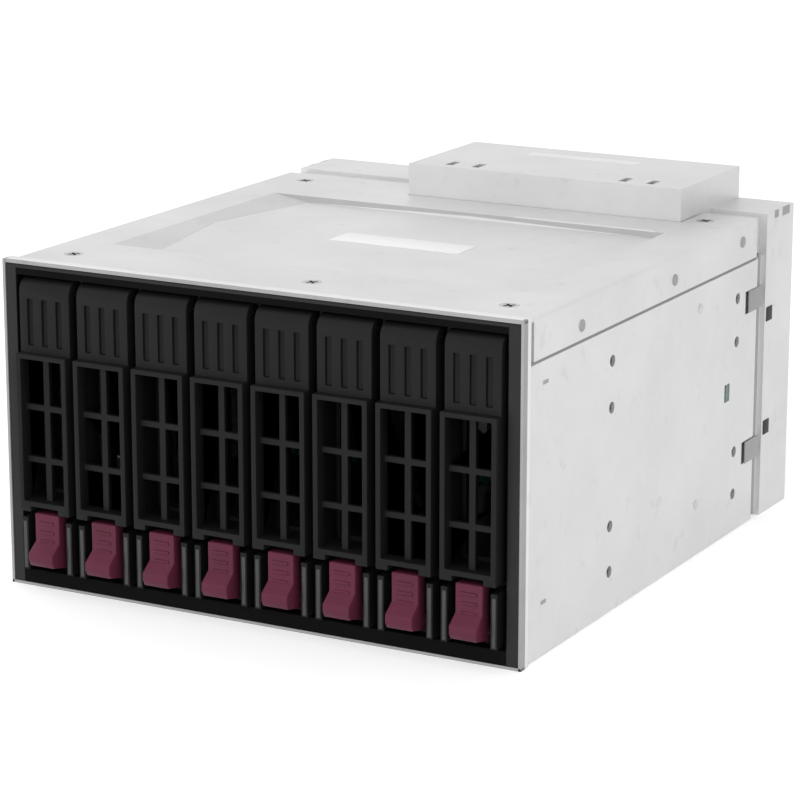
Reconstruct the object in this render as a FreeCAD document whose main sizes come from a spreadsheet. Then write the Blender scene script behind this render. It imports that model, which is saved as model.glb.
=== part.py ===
"""Hot swap drive cage for two stacked 5.25 inch bays, with eight carriers for 2.5 inch drives.

Each part is drawn with x from the middle of its own bay or of the cage, y backwards from the
bezel's front face and z up from the cage's underside. Its Placement then brings the whole cage
to the middle of its own depth, so that the origin is the centre of the footprint.
"""
import FreeCAD, Part
import Sketcher
import os
import re

# Driving sizes, in millimetres and degrees.
SIZES = {
    # Cage: the outside of two stacked 5.25 inch bays.
    "cage_width": 146.0,
    "cage_height": 84.7,
    "shell_sheet": 1.0,
    "cover_sheet": 0.8,
    "sheet_gap": 0.1,
    "bend_radius": 1.0,
    "shell_rear": 142.0,
    "seam_height": 74.2,
    "seam_groove": 0.8,
    # Bezel.
    "bezel_depth": 3.4,
    "bezel_inset": 0.4,
    "bezel_side_border": 4.0,
    "bezel_top_border": 3.2,
    "bezel_bottom_border": 4.5,
    "bezel_rounding": 0.7,
    "snap_arm_thick": 1.6,
    "snap_arm_height": 4.0,
    "snap_arm_length": 11.0,
    "snap_low": 14.0,
    "snap_high": 68.2,
    "snap_place": 12.0,
    "snap_length": 2.4,
    "snap_clearance": 0.5,
    # Bays and the carriers' common sizes.
    "carrier_gap": 2.25,
    "carrier_top_gap": 0.5,
    "carrier_bottom_gap": 0.6,
    "face_proud": 0.8,
    "drive_rear": 114.4,
    "rail_side_gap": 0.5,
    "rail_low_thick": 2.8,
    "rail_high_thick": 3.1,
    "rail_rear": 115.0,
    "rail_lead": 2.5,
    "rail_taper": 0.8,
    "drive_hole_radius": 1.7,
    "drive_hole_near": 14.0,
    "drive_hole_far": 90.6,
    # Lever.
    "lever_round": 3.6,
    "lever_wall": 1.5,
    "lever_cheek": 1.1,
    "catch_gap": 0.4,
    "catch_notch": 1.4,
    "catch_side_gap": 0.5,
    "frame_proud": 2.4,
    "frame_rail": 1.4,
    "frame_drop": 19.0,
    "frame_lip": 1.3,
    "grille_bar": 1.6,
    "grille_last_short": 2.4,
    "grille_post": 1.8,
    "flute_pitch": 4.3,
    "flute_width": 1.7,
    "flute_depth": 0.9,
    "flute_length": 12.0,
    "flute_margin": 1.8,
    "lever_pin_radius": 0.75,
    "pin_clearance": 0.05,
    "pin_seat_clearance": 0.02,
    "ear_radius": 1.9,
    "ear_thick": 1.3,
    "ear_side_gap": 0.3,
    "ear_gap": 0.2,
    # Latch.
    "latch_top": 20.4,
    "latch_side_gap": 2.15,
    "latch_proud": 1.5,
    "latch_wall": 1.2,
    "latch_thick": 3.8,
    "latch_foot_gap": 0.3,
    "ledge_reach": 4.8,
    "ledge_top": 8.9,
    "ledge_edge": 2.0,
    "ledge_root": 11.4,
    "ledge_undercut": 0.8,
    "latch_pin_depth": 4.0,
    "latch_pin_height": 2.5,
    "latch_pin_radius": 0.6,
    "post_width": 1.7,
    "post_height": 13.8,
    "post_proud": 1.4,
    "post_root": 1.0,
    # Carrier tray.
    "bulkhead_gap": 0.5,
    "bulkhead_thick": 6.0,
    "window_side": 1.4,
    "window_margin": 1.0,
    "pipe_width": 0.8,
    "pipe_height": 1.1,
    "pipe_clearance": 0.1,
    "pipe_floor": 0.5,
    "leaf_thick": 0.3,
    "leaf_width": 3.0,
    "leaf_length": 8.4,
    "leaf_bow": 1.2,
    # Bay guides.
    "guide_front_gap": 0.6,
    "guide_rear": 116.0,
    "guide_rib": 1.2,
    "guide_rib_reach": 3.8,
    "guide_clearance": 0.3,
    "guide_plate": 1.6,
    "guide_side_gap": 0.2,
    "board_boss": 4.4,
    "boss_root": 0.5,
    "board_boss_bays": 3,
    # Backplane board and its connectors.
    "board_front": 122.0,
    "board_thick": 1.6,
    "board_side_gap": 1.2,
    "board_edge_gap": 0.3,
    "board_tab_height": 4.6,
    "board_tab_middle": 40.5,
    "board_slot_gap": 0.9,
    "board_vent_width": 7.0,
    "board_vent_margin": 9.5,
    "socket_width": 6.4,
    "socket_height": 42.0,
    "socket_middle": 33.0,
    "socket_front_gap": 0.3,
    "socket_slot_width": 1.8,
    "socket_slot_depth": 4.6,
    "socket_wall": 1.6,
    "data_width": 24.0,
    "data_height": 9.0,
    "data_depth": 14.0,
    "data_drop": 34.3,
    "data_pitch": 15.0,
    "power_width": 24.0,
    "power_height": 8.0,
    "power_depth": 11.0,
    "power_rise": 13.7,
    "power_pitch": 14.0,
    "plug_wall": 1.2,
    "plug_hollow": 8.0,
    # Top cover.
    "cover_front_gap": 0.3,
    "flange_front": 5.5,
    "cover_rear": 141.0,
    "recess_left_side": 13.0,
    "recess_ramp": 12.0,
    "recess_right_side": 14.0,
    "recess_front": 30.0,
    "recess_back": 111.0,
    "recess_slope": 1.6,
    "recess_depth": 1.3,
    "cover_screw_head": 2.5,
    "cover_screw_sink": 0.5,
    "cover_screw_radius": 1.2,
    "cover_screw_front": 15.0,
    "cover_screw_back": 131.5,
    "cover_screw_inset": 9.3,
    "cover_screw_middle": 8.0,
    "cover_screw_length": 1.8,
    "screw_clearance": 0.1,
    # Device mounting holes, as on any 5.25 inch unit.
    "mount_radius": 1.5,
    "mount_first": 49.4,
    "mount_pitch": 79.25,
    "mount_low": 11.04,
    "mount_rise": 11.84,
    "mount_unit": 42.3,
    # Rear housing and fan.
    "rear_sheet": 1.0,
    "rear_start": 148.0,
    "joggle_start": 137.0,
    "tab_start": 134.0,
    "tab_height": 6.2,
    "tab_low": 21.0,
    "tab_high": 62.8,
    "flange_lead": 10.0,
    "hump_height": 8.8,
    "hump_gap": 0.3,
    "hump_slot_length": 5.5,
    "hump_slot_width": 2.2,
    "hump_slot_inner": 22.3,
    "hump_slot_outer": 30.4,
    "hump_slot_place": 6.0,
    "fan_size": 80.0,
    "fan_depth": 38.0,
    "hump_side": 16.3,
    "fan_gap": 0.2,
    "fan_front": 128.0,
    "fan_wall": 1.8,
    "fan_barrel_wall": 1.2,
    "fan_flange": 4.5,
    "fan_hole_inset": 4.25,
    "fan_hole_radius": 2.15,
    "stator_radius": 16.5,
    "stator_thick": 3.4,
    "strut_width": 3.0,
    "rotor_hub_radius": 17.5,
    "rotor_front_gap": 3.0,
    "rotor_stator_gap": 0.6,
    "rotor_shaft_radius": 1.5,
    "rotor_shaft_length": 3.0,
    "shaft_clearance": 0.05,
    "blade_tip_gap": 0.9,
    "blade_thick": 1.5,
    "blade_sweep": 9.5,
    "blade_camber": 1.8,
    "blade_inset": 2.0,
    "blade_root": 3.6,
    "rotor_end_gap": 0.2,
    "cable_window_side": 5.0,
    "cable_window_hump_gap": 4.3,
    "cable_window_low": 9.0,
    "cable_window_drop": 6.7,
    "guard_thick": 1.0,
    "guard_ring": 1.5,
    "guard_first": 10.0,
    "guard_margin": 4.2,
    "guard_arm": 1.8,
    "guard_ear": 4.0,
    "fan_screw_radius": 1.9,
    "fan_screw_head": 3.4,
    "fan_screw_head_thick": 1.2,
    "fan_screw_length": 7.0,
}

BAYS = 8
PLUG_BAYS = 2
BLADES = 7
GRILLE_ROWS = 3
GUARD_RINGS = 4

# Flats on rounds that repeat: pins and screw shanks with their holes, heads, wider rounds.
PIN_SIDES = 6
SCREW_SIDES = 8
RING_SIDES = 16

# Places and sizes that follow from the driving ones.
PLACES = {
    "half_width": "cage_width / 2",
    "opening_half": "half_width - bezel_side_border",
    "opening_low": "bezel_bottom_border",
    "opening_high": "cage_height - bezel_top_border",
    "wall_inside": "half_width - shell_sheet",
    "joggle_outside": "half_width - cover_sheet - sheet_gap",
    "joggle_inside": "joggle_outside - shell_sheet",
    "cover_inside": "cage_height - cover_sheet",
    "shell_top": "cover_inside - sheet_gap",
    "face_low": "opening_low + carrier_bottom_gap",
    "face_high": "opening_high - carrier_top_gap",
    "bay_pitch": f"2 * opening_half / {BAYS}",
    "half_carrier": "(bay_pitch - carrier_gap) / 2",
    "half_rail": "half_carrier - rail_side_gap",
    "pin_y": "lever_round - face_proud",
    "pin_z": "face_high - lever_round",
    "lever_back": "2 * lever_round - face_proud",
    "lever_low": "latch_top + catch_gap",
    "frame_top": "face_high - frame_drop",
    "grille_top": "frame_top - frame_lip",
    "catch_notch_top": "lever_low + catch_notch",
    "grille_low": "catch_notch_top + frame_rail",
    "grille_pitch": "(grille_top + grille_bar + grille_last_short - grille_low)"
                    f" / {GRILLE_ROWS}",
    "cheek_inside": "half_carrier - lever_cheek",
    "wall_back": "lever_wall - face_proud",
    "grille_side": "half_carrier - frame_rail",
    "grille_height": "grille_pitch - grille_bar",
    "ear_outside": "cheek_inside - ear_side_gap",
    "ear_inside": "ear_outside - ear_thick",
    "bulkhead_front": "lever_back + bulkhead_gap",
    "bulkhead_rear": "bulkhead_front + bulkhead_thick",
    "drive_low": "face_low + rail_low_thick",
    "drive_high": "face_high - rail_high_thick",
    "latch_face": "-face_proud - latch_proud",
    "latch_back": "latch_face + latch_thick",
    "latch_half": "post_inside - latch_side_gap",
    "latch_low": "face_low + latch_foot_gap",
    "ledge_tip": "0 - face_proud - ledge_reach",
    "barrel_top": "2 * latch_pin_z - latch_low",
    "latch_pin_y": "latch_pin_depth - face_proud",
    "latch_pin_z": "face_low + latch_pin_height",
    "post_inside": "half_carrier - post_width",
    "post_front": "-face_proud - post_proud",
    "post_top": "face_low + post_height",
    "post_back": "bulkhead_front + post_root",
    "pipe_low": "face_low + pipe_floor",
    "pipe_high": "pipe_low + pipe_height",
    "pipe_inside": "half_rail - pipe_width",
    "guide_front": "bezel_depth + guide_front_gap",
    "guide_half": "joggle_inside - guide_side_gap",
    "low_plate_top": "face_low - guide_clearance",
    "low_plate_under": "low_plate_top - guide_plate",
    "high_plate_under": "face_high + guide_clearance",
    "high_plate_top": "cover_inside - recess_depth",
    "board_rear": "board_front + board_thick",
    "board_half": "wall_inside - board_side_gap",
    "board_low": "shell_sheet + board_edge_gap",
    "board_high": "high_plate_top - board_edge_gap",
    "boss_x": "board_boss_bays * bay_pitch",
    "boss_low_z": "shell_sheet + board_boss / 2",
    "boss_high_z": "high_plate_top - board_boss / 2",
    "socket_front": "drive_rear + socket_front_gap",
    "data_low": "board_high - data_drop",
    "power_low": "board_low + power_rise",
    "plug_x": "(cable_window_left + cable_window_right) / 2",
    "recess_floor": "cage_height - recess_depth",
    "recess_left": "recess_left_side - half_width",
    "recess_right": "half_width - recess_right_side",
    "cover_screw_side": "joggle_inside - cover_screw_inset",
    "mount_second": "mount_first + mount_pitch",
    "rear_inside": "fan_front + fan_depth",
    "rear_outside": "rear_inside + rear_sheet",
    "guard_back": "rear_outside + guard_thick",
    "rear_end": "guard_back + fan_screw_head_thick",
    "ring_joggle": "joggle_inside - sheet_gap",
    "ring_top": "cover_inside - sheet_gap",
    "hump_outside": "fan_size / 2 + fan_gap + rear_sheet",
    "hump_inside": "fan_size / 2 + fan_gap",
    "hump_top": "cage_height + hump_height",
    "hump_front": "fan_front - fan_gap - rear_sheet",
    "fan_high": "hump_top - rear_sheet - fan_gap",
    "fan_z": "fan_high - fan_size / 2",
    "fan_x": "half_width - hump_side - hump_outside",
    "fan_hole": "fan_size / 2 - fan_hole_inset",
    "bore_radius": "fan_size / 2 - fan_wall",
    "guard_step": f"(bore_radius - guard_margin - guard_first) / {GUARD_RINGS - 1}",
    "cable_window_left": "cable_window_side - half_width",
    "cable_window_right": "fan_x - hump_outside - cable_window_hump_gap",
    "cable_window_high": "cage_height - cable_window_drop",
    "blade_reach": "sqrt((bore_radius - blade_tip_gap) ^ 2 - (blade_sweep + blade_thick) ^ 2)",
    "origin_y": "(ledge_tip + rear_end) / 2",
}

doc = FreeCAD.newDocument("drive_cage")
sheet = doc.addObject("Spreadsheet::Sheet", "sizes")
for row, (name, number) in enumerate(SIZES.items(), start=1):
    sheet.set(f"A{row}", name)
    sheet.set(f"B{row}", str(number))
    sheet.setAlias(f"B{row}", name)
doc.recompute()

parts = []


def expand(text):
    """Return a formula in which each place is worked out from cells of the sheet."""

    def word(match):
        name = match.group(0)
        if name in PLACES:
            return f"({expand(PLACES[name])})"
        return f"sizes.{name}" if name in SIZES else name

    return re.sub(r"[a-z_]+", word, str(text))


def value(text):
    """Return a formula's present value."""
    return float(sheet.evalExpression(expand(text)))


def bind(item, prop, text):
    """Bind a property to the sheet."""
    item.setExpression(prop, expand(text))


def new_body(name, x="0", y="-origin_y", z="0"):
    """Start a body that stands in the cage's frame, and list it as a part."""
    body = doc.addObject("PartDesign::Body", name)
    body.Label = name
    for axis, text in (("x", x), ("y", y), ("z", z)):
        bind(body, f"Placement.Base.{axis}", text)
    parts.append(body)
    return body


def new_form(name):
    """Start a body that is drawn once for all bays, and is no part by itself."""
    body = doc.addObject("PartDesign::Body", name)
    body.Label = name
    return body


def own_plane(body, role):
    """Return one of the body's own planes or axes."""
    return next(item for item in body.Origin.OriginFeatures if item.Role == role)


def rectangle(low_u, high_u, low_v, high_v):
    """Return the four corners of a rectangle."""
    return [(low_u, low_v), (high_u, low_v), (high_u, high_v), (low_u, high_v)]


def centred(half_u, low_v, high_v):
    """Return a rectangle centred on the first axis."""
    return rectangle(f"-({half_u})", half_u, low_v, high_v)


def both_sides(low_u, high_u, low_v, high_v):
    """Return a rectangle and its mirror image."""
    return [rectangle(low_u, high_u, low_v, high_v),
            rectangle(f"-({high_u})", f"-({low_u})", low_v, high_v)]


def many_sided(u, v, radius, sides):
    """Return a round drawn with flats, its corners at the radius."""
    corners = []
    for index in range(sides):
        angle = 360 * (index + 0.5) / sides
        corners.append((f"{u} + ({radius}) * cos({angle})", f"{v} + ({radius}) * sin({angle})"))
    return corners


def rounds(spots, radius, sides):
    """Return one round drawn with flats for each spot."""
    return [many_sided(u, v, radius, sides) for u, v in spots]


def reflected(outline):
    """Return the outline's mirror image on the other side of the middle line."""
    return [(f"-({u})", v) for u, v in reversed(outline)]


def mirrored(half):
    """Close an outline from its right half."""
    return half + reflected(half)


def draw(body, name, plane, place, outlines, circles):
    """Draw closed outlines and circles at a place along the plane's axis, held by the sizes."""
    sketch = body.newObject("Sketcher::SketchObject", name)
    sketch.AttachmentSupport = [(own_plane(body, f"{plane}_Plane"), "")]
    sketch.MapMode = "FlatFace"
    sign = "-1" if plane == "XZ" else "1"
    bind(sketch, "AttachmentOffset.Base.z", f"{sign} * ({place})")
    shapes, joins, holds = [], [], []
    for corners in outlines:
        points = [FreeCAD.Vector(value(u), value(v), 0) for u, v in corners]
        first = len(shapes)
        for index, (u, v) in enumerate(corners):
            here = first + index
            after = first + (index + 1) % len(corners)
            end = points[(index + 1) % len(corners)]
            shapes.append(Part.LineSegment(points[index], end))
            joins.append(Sketcher.Constraint("Coincident", here, 2, after, 1))
            holds.append(("DistanceX", here, 1, u))
            holds.append(("DistanceY", here, 1, v))
    for u, v, radius in circles:
        centre = FreeCAD.Vector(value(u), value(v), 0)
        here = len(shapes)
        shapes.append(Part.Circle(centre, FreeCAD.Vector(0, 0, 1), value(radius)))
        holds.append(("DistanceX", here, 3, u))
        holds.append(("DistanceY", here, 3, v))
        holds.append(("Radius", here, None, radius))
    sketch.addGeometry(shapes, False)
    sketch.addConstraint(joins)
    for kind, here, point, text in holds:
        if kind == "Radius":
            number = sketch.addConstraint(Sketcher.Constraint(kind, here, value(text)))
        else:
            number = sketch.addConstraint(
                Sketcher.Constraint(kind, -1, 1, here, point, value(text)))
        bind(sketch, f"Constraints[{number}]", text)
    return sketch


def grow_or_cut(body, kind, make):
    """Make a feature and stop if it changes the volume the wrong way."""
    doc.recompute()
    before = body.Tip.Shape.Volume if body.Tip else 0.0
    feature = make()
    body.Tip = feature
    doc.recompute()
    change = feature.Shape.Volume - before
    if (change > 0) != (kind != "cut"):
        raise RuntimeError(f"{body.Label}: {feature.Name} changes the volume by {change:.3f}")
    return feature


def pad(body, name, plane, start, end, outlines=(), circles=()):
    """Add what the outlines enclose from one place to another along the plane's axis."""
    def make():
        place = end if plane == "XZ" else start
        sketch = draw(body, f"{name}_outline", plane, place, outlines, circles)
        feature = body.newObject("PartDesign::Pad", name)
        feature.Profile = sketch
        bind(feature, "Length", f"({end}) - ({start})")
        sketch.Visibility = False
        return feature
    return grow_or_cut(body, "add", make)


def pocket(body, name, plane, start, end, outlines=(), circles=()):
    """Cut what the outlines enclose from one place to another along the plane's axis."""
    def make():
        place = start if plane == "XZ" else end
        sketch = draw(body, f"{name}_outline", plane, place, outlines, circles)
        feature = body.newObject("PartDesign::Pocket", name)
        feature.Profile = sketch
        bind(feature, "Length", f"({end}) - ({start})")
        sketch.Visibility = False
        return feature
    return grow_or_cut(body, "cut", make)


def loft(body, name, kind, plane, sections):
    """Join outlines at several places by straight sides, adding to the body or cutting it."""
    def make():
        sketches = [draw(body, f"{name}_{index}", plane, place, [outline], ())
                    for index, (place, outline) in enumerate(sections)]
        feature = body.newObject(f"PartDesign::{kind}Loft", name)
        feature.Profile = sketches[0]
        feature.Sections = sketches[1:]
        feature.Ruled = True
        return feature
    return grow_or_cut(body, "cut" if kind == "Subtractive" else "add", make)


def round_edges(body, name, radius, chosen):
    """Round each edge that a test picks, given the edge's box."""
    doc.recompute()
    base = body.Tip
    names = [f"Edge{number}" for number, edge in enumerate(base.Shape.Edges, start=1)
             if chosen(edge.BoundBox)]
    if not names:
        raise RuntimeError(f"{body.Label}: {name} finds no edge")
    feature = body.newObject("PartDesign::Fillet", name)
    feature.Base = (base, names)
    bind(feature, "Radius", radius)
    body.Tip = feature
    doc.recompute()
    return feature


def near(number, text):
    """Say whether a coordinate is at a place."""
    return abs(number - value(text)) < 1e-4


def bay_x(bay):
    """Return the middle of a bay, counted from 0 at the left."""
    return f"{bay - (BAYS - 1) / 2} * bay_pitch"


# Front bezel: a plain frame with four snap arms that reach into the shell.
def make_bezel():
    body = new_body("front_bezel")
    outer = centred("half_width - bezel_inset", "bezel_inset", "cage_height - bezel_inset")
    opening = centred("opening_half", "opening_low", "opening_high")
    pad(body, "frame", "XZ", "0", "bezel_depth", [outer, opening])
    edge = "half_width - bezel_inset"
    round_edges(body, "front_edges", "bezel_rounding", lambda box: (
        box.YMax < 1e-4 and (
            near(abs(box.XMin), edge) or near(box.XMax, edge)
            or near(box.ZMin, "cage_height - bezel_inset") or near(box.ZMax, "bezel_inset"))))
    arm_end = "bezel_depth + snap_arm_length"
    arm_out = "wall_inside - sheet_gap"
    arm_in = "wall_inside - sheet_gap - snap_arm_thick"
    arms, hooks = [], []
    for height in ("snap_low", "snap_high"):
        low = f"{height} - snap_arm_height / 2"
        high = f"{height} + snap_arm_height / 2"
        arms += both_sides(arm_in, arm_out, low, high)
        hooks += both_sides(arm_in, "half_width - sheet_gap", low, high)
    pad(body, "snap_arms", "XZ", "bezel_depth", arm_end, arms)
    pad(body, "snap_hooks", "XZ", "snap_place - snap_length / 2", "snap_place + snap_length / 2",
        hooks)


# Shell: floor and side walls bent from one sheet, stepped in where the cover's flange laps it.
def shell_inside(inset):
    """Return the right half of the shell's inner outline, drawn in by a distance."""
    return [(f"wall_inside - ({inset})", f"shell_sheet + {inset}"),
            (f"wall_inside - ({inset})", f"seam_height - seam_groove - ({inset})"),
            (f"joggle_inside - ({inset})", f"seam_height - ({inset})"),
            (f"joggle_inside - ({inset})", "shell_top")]


def side_notches():
    """Return the cut-outs that go through both side walls, as outlines of depth and height."""
    cuts = []
    for height in ("snap_low", "snap_high"):
        cuts.append(rectangle("snap_place - snap_length / 2 - snap_clearance",
                              "snap_place + snap_length / 2 + snap_clearance",
                              f"{height} - snap_arm_height / 2 - snap_clearance / 2",
                              f"{height} + snap_arm_height / 2 + snap_clearance / 2"))
    cuts.append(rectangle("board_front - board_slot_gap", "board_rear + board_slot_gap",
                          "board_tab_middle - board_tab_height / 2 - sheet_gap",
                          "board_tab_middle + board_tab_height / 2 + sheet_gap"))
    for height in ("tab_low", "tab_high"):
        cuts.append(rectangle("tab_start", "shell_rear + 1", f"{height} - tab_height / 2",
                              f"{height} + tab_height / 2"))
    return cuts


def make_shell():
    body = new_body("chassis_shell")
    outer = [("half_width", "0"), ("half_width", "seam_height - seam_groove"),
             ("joggle_outside", "seam_height"), ("joggle_outside", "shell_top")]
    right = outer + list(reversed(shell_inside("0")))
    pad(body, "walls", "XZ", "bezel_depth", "shell_rear", [mirrored(right)])
    round_edges(body, "floor_bends", "bend_radius", lambda box: (
        near(abs(box.XMin), "half_width") and near(abs(box.XMax), "half_width")
        and box.XLength < 1e-4 and box.ZMax < 1e-4))
    pocket(body, "side_cuts", "YZ", "-half_width - 1", "half_width + 1", side_notches())
    holes = [(along, f"mount_low + {unit} + {rise}", "mount_radius")
             for along in ("mount_first", "mount_second")
             for unit in ("0", "mount_unit")
             for rise in ("0", "mount_rise")]
    pocket(body, "mount_holes", "YZ", "-half_width - 1", "half_width + 1", circles=holes)


# Top cover: a shallow lid with side flanges, a stamped recess and countersunk screws.
FRONT_SCREWS = [(x, "cover_screw_front")
                for x in ("-cover_screw_side", "cover_screw_middle", "cover_screw_side")]
BACK_SCREWS = [(x, "cover_screw_back") for x in ("-cover_screw_side", "cover_screw_side")]


def recess_outline(inset):
    """Return the recess's outline, each side drawn in by its own slope times a share."""
    return rectangle(f"recess_left + recess_ramp * {inset}",
                     f"recess_right - recess_slope * {inset}",
                     f"recess_front + recess_slope * {inset}",
                     f"recess_back - recess_slope * {inset}")


def make_cover():
    body = new_body("top_cover")
    right = [("half_width", "cage_height"), ("half_width", "seam_height"),
             ("half_width - cover_sheet", "seam_height"),
             ("half_width - cover_sheet", "cover_inside")]
    pad(body, "lid", "XZ", "bezel_depth + cover_front_gap", "cover_rear", [mirrored(right)])
    round_edges(body, "top_bends", "bend_radius", lambda box: (
        near(abs(box.XMin), "half_width") and box.XLength < 1e-4
        and near(box.ZMin, "cage_height")))
    pocket(body, "flange_fronts", "XZ", "bezel_depth", "flange_front",
           both_sides("half_width - 2 * cover_sheet", "half_width + 1", "seam_height - 1",
                      "cover_inside"))
    loft(body, "recess_floor", "Additive", "XY", [
        ("cover_inside + cover_sheet / 2", recess_outline("0")),
        ("cover_inside - recess_depth", recess_outline("1"))])
    loft(body, "recess", "Subtractive", "XY", [
        ("cage_height", recess_outline("0")),
        ("recess_floor", recess_outline("1"))])
    pocket(body, "hump_notch", "XY", "cover_inside - 1", "cage_height + 1",
           [rectangle("fan_x - hump_outside - hump_gap", "fan_x + hump_outside + hump_gap",
                      "hump_front - hump_gap", "cover_rear + 1")])
    pocket(body, "screw_seats", "XY", "cage_height - cover_screw_sink", "cage_height + 1",
           rounds(FRONT_SCREWS + BACK_SCREWS, "cover_screw_head + screw_clearance", SCREW_SIDES))
    pocket(body, "screw_holes", "XY", "cover_inside - 1", "cage_height",
           rounds(FRONT_SCREWS + BACK_SCREWS, "cover_screw_radius + screw_clearance", PIN_SIDES))


def make_cover_screws():
    body = new_body("cover_screws")
    body.AllowCompound = True
    pad(body, "heads", "XY", "cage_height - cover_screw_sink", "cage_height",
        rounds(FRONT_SCREWS + BACK_SCREWS, "cover_screw_head", SCREW_SIDES))
    pad(body, "shanks", "XY", "cage_height - cover_screw_length", "cage_height - cover_screw_sink",
        rounds(FRONT_SCREWS + BACK_SCREWS, "cover_screw_radius", PIN_SIDES))


# Bay guides: combs of ribs between which the carriers' rails run.
def rib_places():
    """Return the x of each bay boundary, the two outer ones included."""
    return [f"{index - BAYS / 2} * bay_pitch" for index in range(BAYS + 1)]


def rib_outlines(low, high):
    """Return one rectangle a rib between two heights."""
    return [rectangle(f"{x} - guide_rib / 2", f"{x} + guide_rib / 2", low, high)
            for x in rib_places()]


def boss_outlines(height):
    """Return the squares of the two bosses that the board stands against."""
    return both_sides("boss_x - board_boss / 2", "boss_x + board_boss / 2",
                      f"{height} - board_boss / 2", f"{height} + board_boss / 2")


def make_guides():
    low = new_body("lower_bay_guide")
    pad(low, "plate", "XZ", "guide_front", "guide_rear",
        [centred("guide_half", "low_plate_under", "low_plate_top")])
    pad(low, "ribs", "XZ", "guide_front", "guide_rear",
        rib_outlines("low_plate_under", "low_plate_top + guide_rib_reach"))
    pad(low, "feet", "XZ", "guide_front", "guide_rear",
        rib_outlines("shell_sheet", "low_plate_under"))
    pad(low, "board_bosses", "XZ", "guide_rear - boss_root", "board_front",
        boss_outlines("boss_low_z"))
    high = new_body("upper_bay_guide")
    pad(high, "plate", "XZ", "guide_front", "guide_rear",
        [centred("guide_half", "high_plate_under", "high_plate_top")])
    pad(high, "ribs", "XZ", "guide_front", "guide_rear",
        rib_outlines("high_plate_under - guide_rib_reach", "high_plate_under"))
    pad(high, "board_bosses", "XZ", "guide_rear - boss_root", "board_front",
        boss_outlines("boss_high_z"))
    pad(high, "cover_bosses", "XY", "high_plate_top", "cover_inside",
        rounds(FRONT_SCREWS, "cover_screw_head", SCREW_SIDES))
    pocket(high, "cover_screw_holes", "XY", "cage_height - cover_screw_length", "cover_inside",
           rounds(FRONT_SCREWS, "cover_screw_radius + pin_seat_clearance", PIN_SIDES))


# Backplane: the board, its drive sockets in front and its cable sockets behind.
def make_board():
    body = new_body("backplane_board")
    pad(body, "board", "XZ", "board_front", "board_rear",
        [centred("board_half", "board_low", "board_high")])
    tabs = both_sides("board_half", "half_width - sheet_gap",
                      "board_tab_middle - board_tab_height / 2",
                      "board_tab_middle + board_tab_height / 2")
    pad(body, "side_tabs", "XZ", "board_front", "board_rear", tabs)
    vents = [rectangle(f"{x} - board_vent_width / 2", f"{x} + board_vent_width / 2",
                       "board_low + board_vent_margin", "board_high - board_vent_margin")
             for x in rib_places()[PLUG_BAYS + 1:-1]]
    pocket(body, "vents", "XZ", "board_front", "board_rear", vents)


def make_drive_sockets():
    body = new_body("drive_connectors")
    body.AllowCompound = True
    low, high = "socket_middle - socket_height / 2", "socket_middle + socket_height / 2"
    pad(body, "sockets", "XZ", "socket_front", "board_front",
        [rectangle(f"{bay_x(bay)} - socket_width / 2", f"{bay_x(bay)} + socket_width / 2",
                   low, high) for bay in range(BAYS)])
    pocket(body, "card_slots", "XZ", "socket_front", "socket_front + socket_slot_depth",
           [rectangle(f"{bay_x(bay)} - socket_slot_width / 2",
                      f"{bay_x(bay)} + socket_slot_width / 2",
                      f"{low} + socket_wall", f"{high} - socket_wall") for bay in range(BAYS)])


def make_cable_sockets(name, kind):
    """Make the two sockets of one kind on the board's back, hollow towards the rear."""
    body = new_body(name)
    body.AllowCompound = True
    shells, hollows = [], []
    for row in range(2):
        low = f"{kind}_low + {row} * {kind}_pitch"
        shells.append(rectangle(f"plug_x - {kind}_width / 2", f"plug_x + {kind}_width / 2",
                                low, f"{low} + {kind}_height"))
        hollows.append(rectangle(f"plug_x - {kind}_width / 2 + plug_wall",
                                 f"plug_x + {kind}_width / 2 - plug_wall",
                                 f"{low} + plug_wall", f"{low} + {kind}_height - plug_wall"))
    back = f"board_rear + {kind}_depth"
    pad(body, "shells", "XZ", "board_rear", back, shells)
    pocket(body, "mouths", "XZ", f"{back} - plug_hollow", back, hollows)


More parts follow.
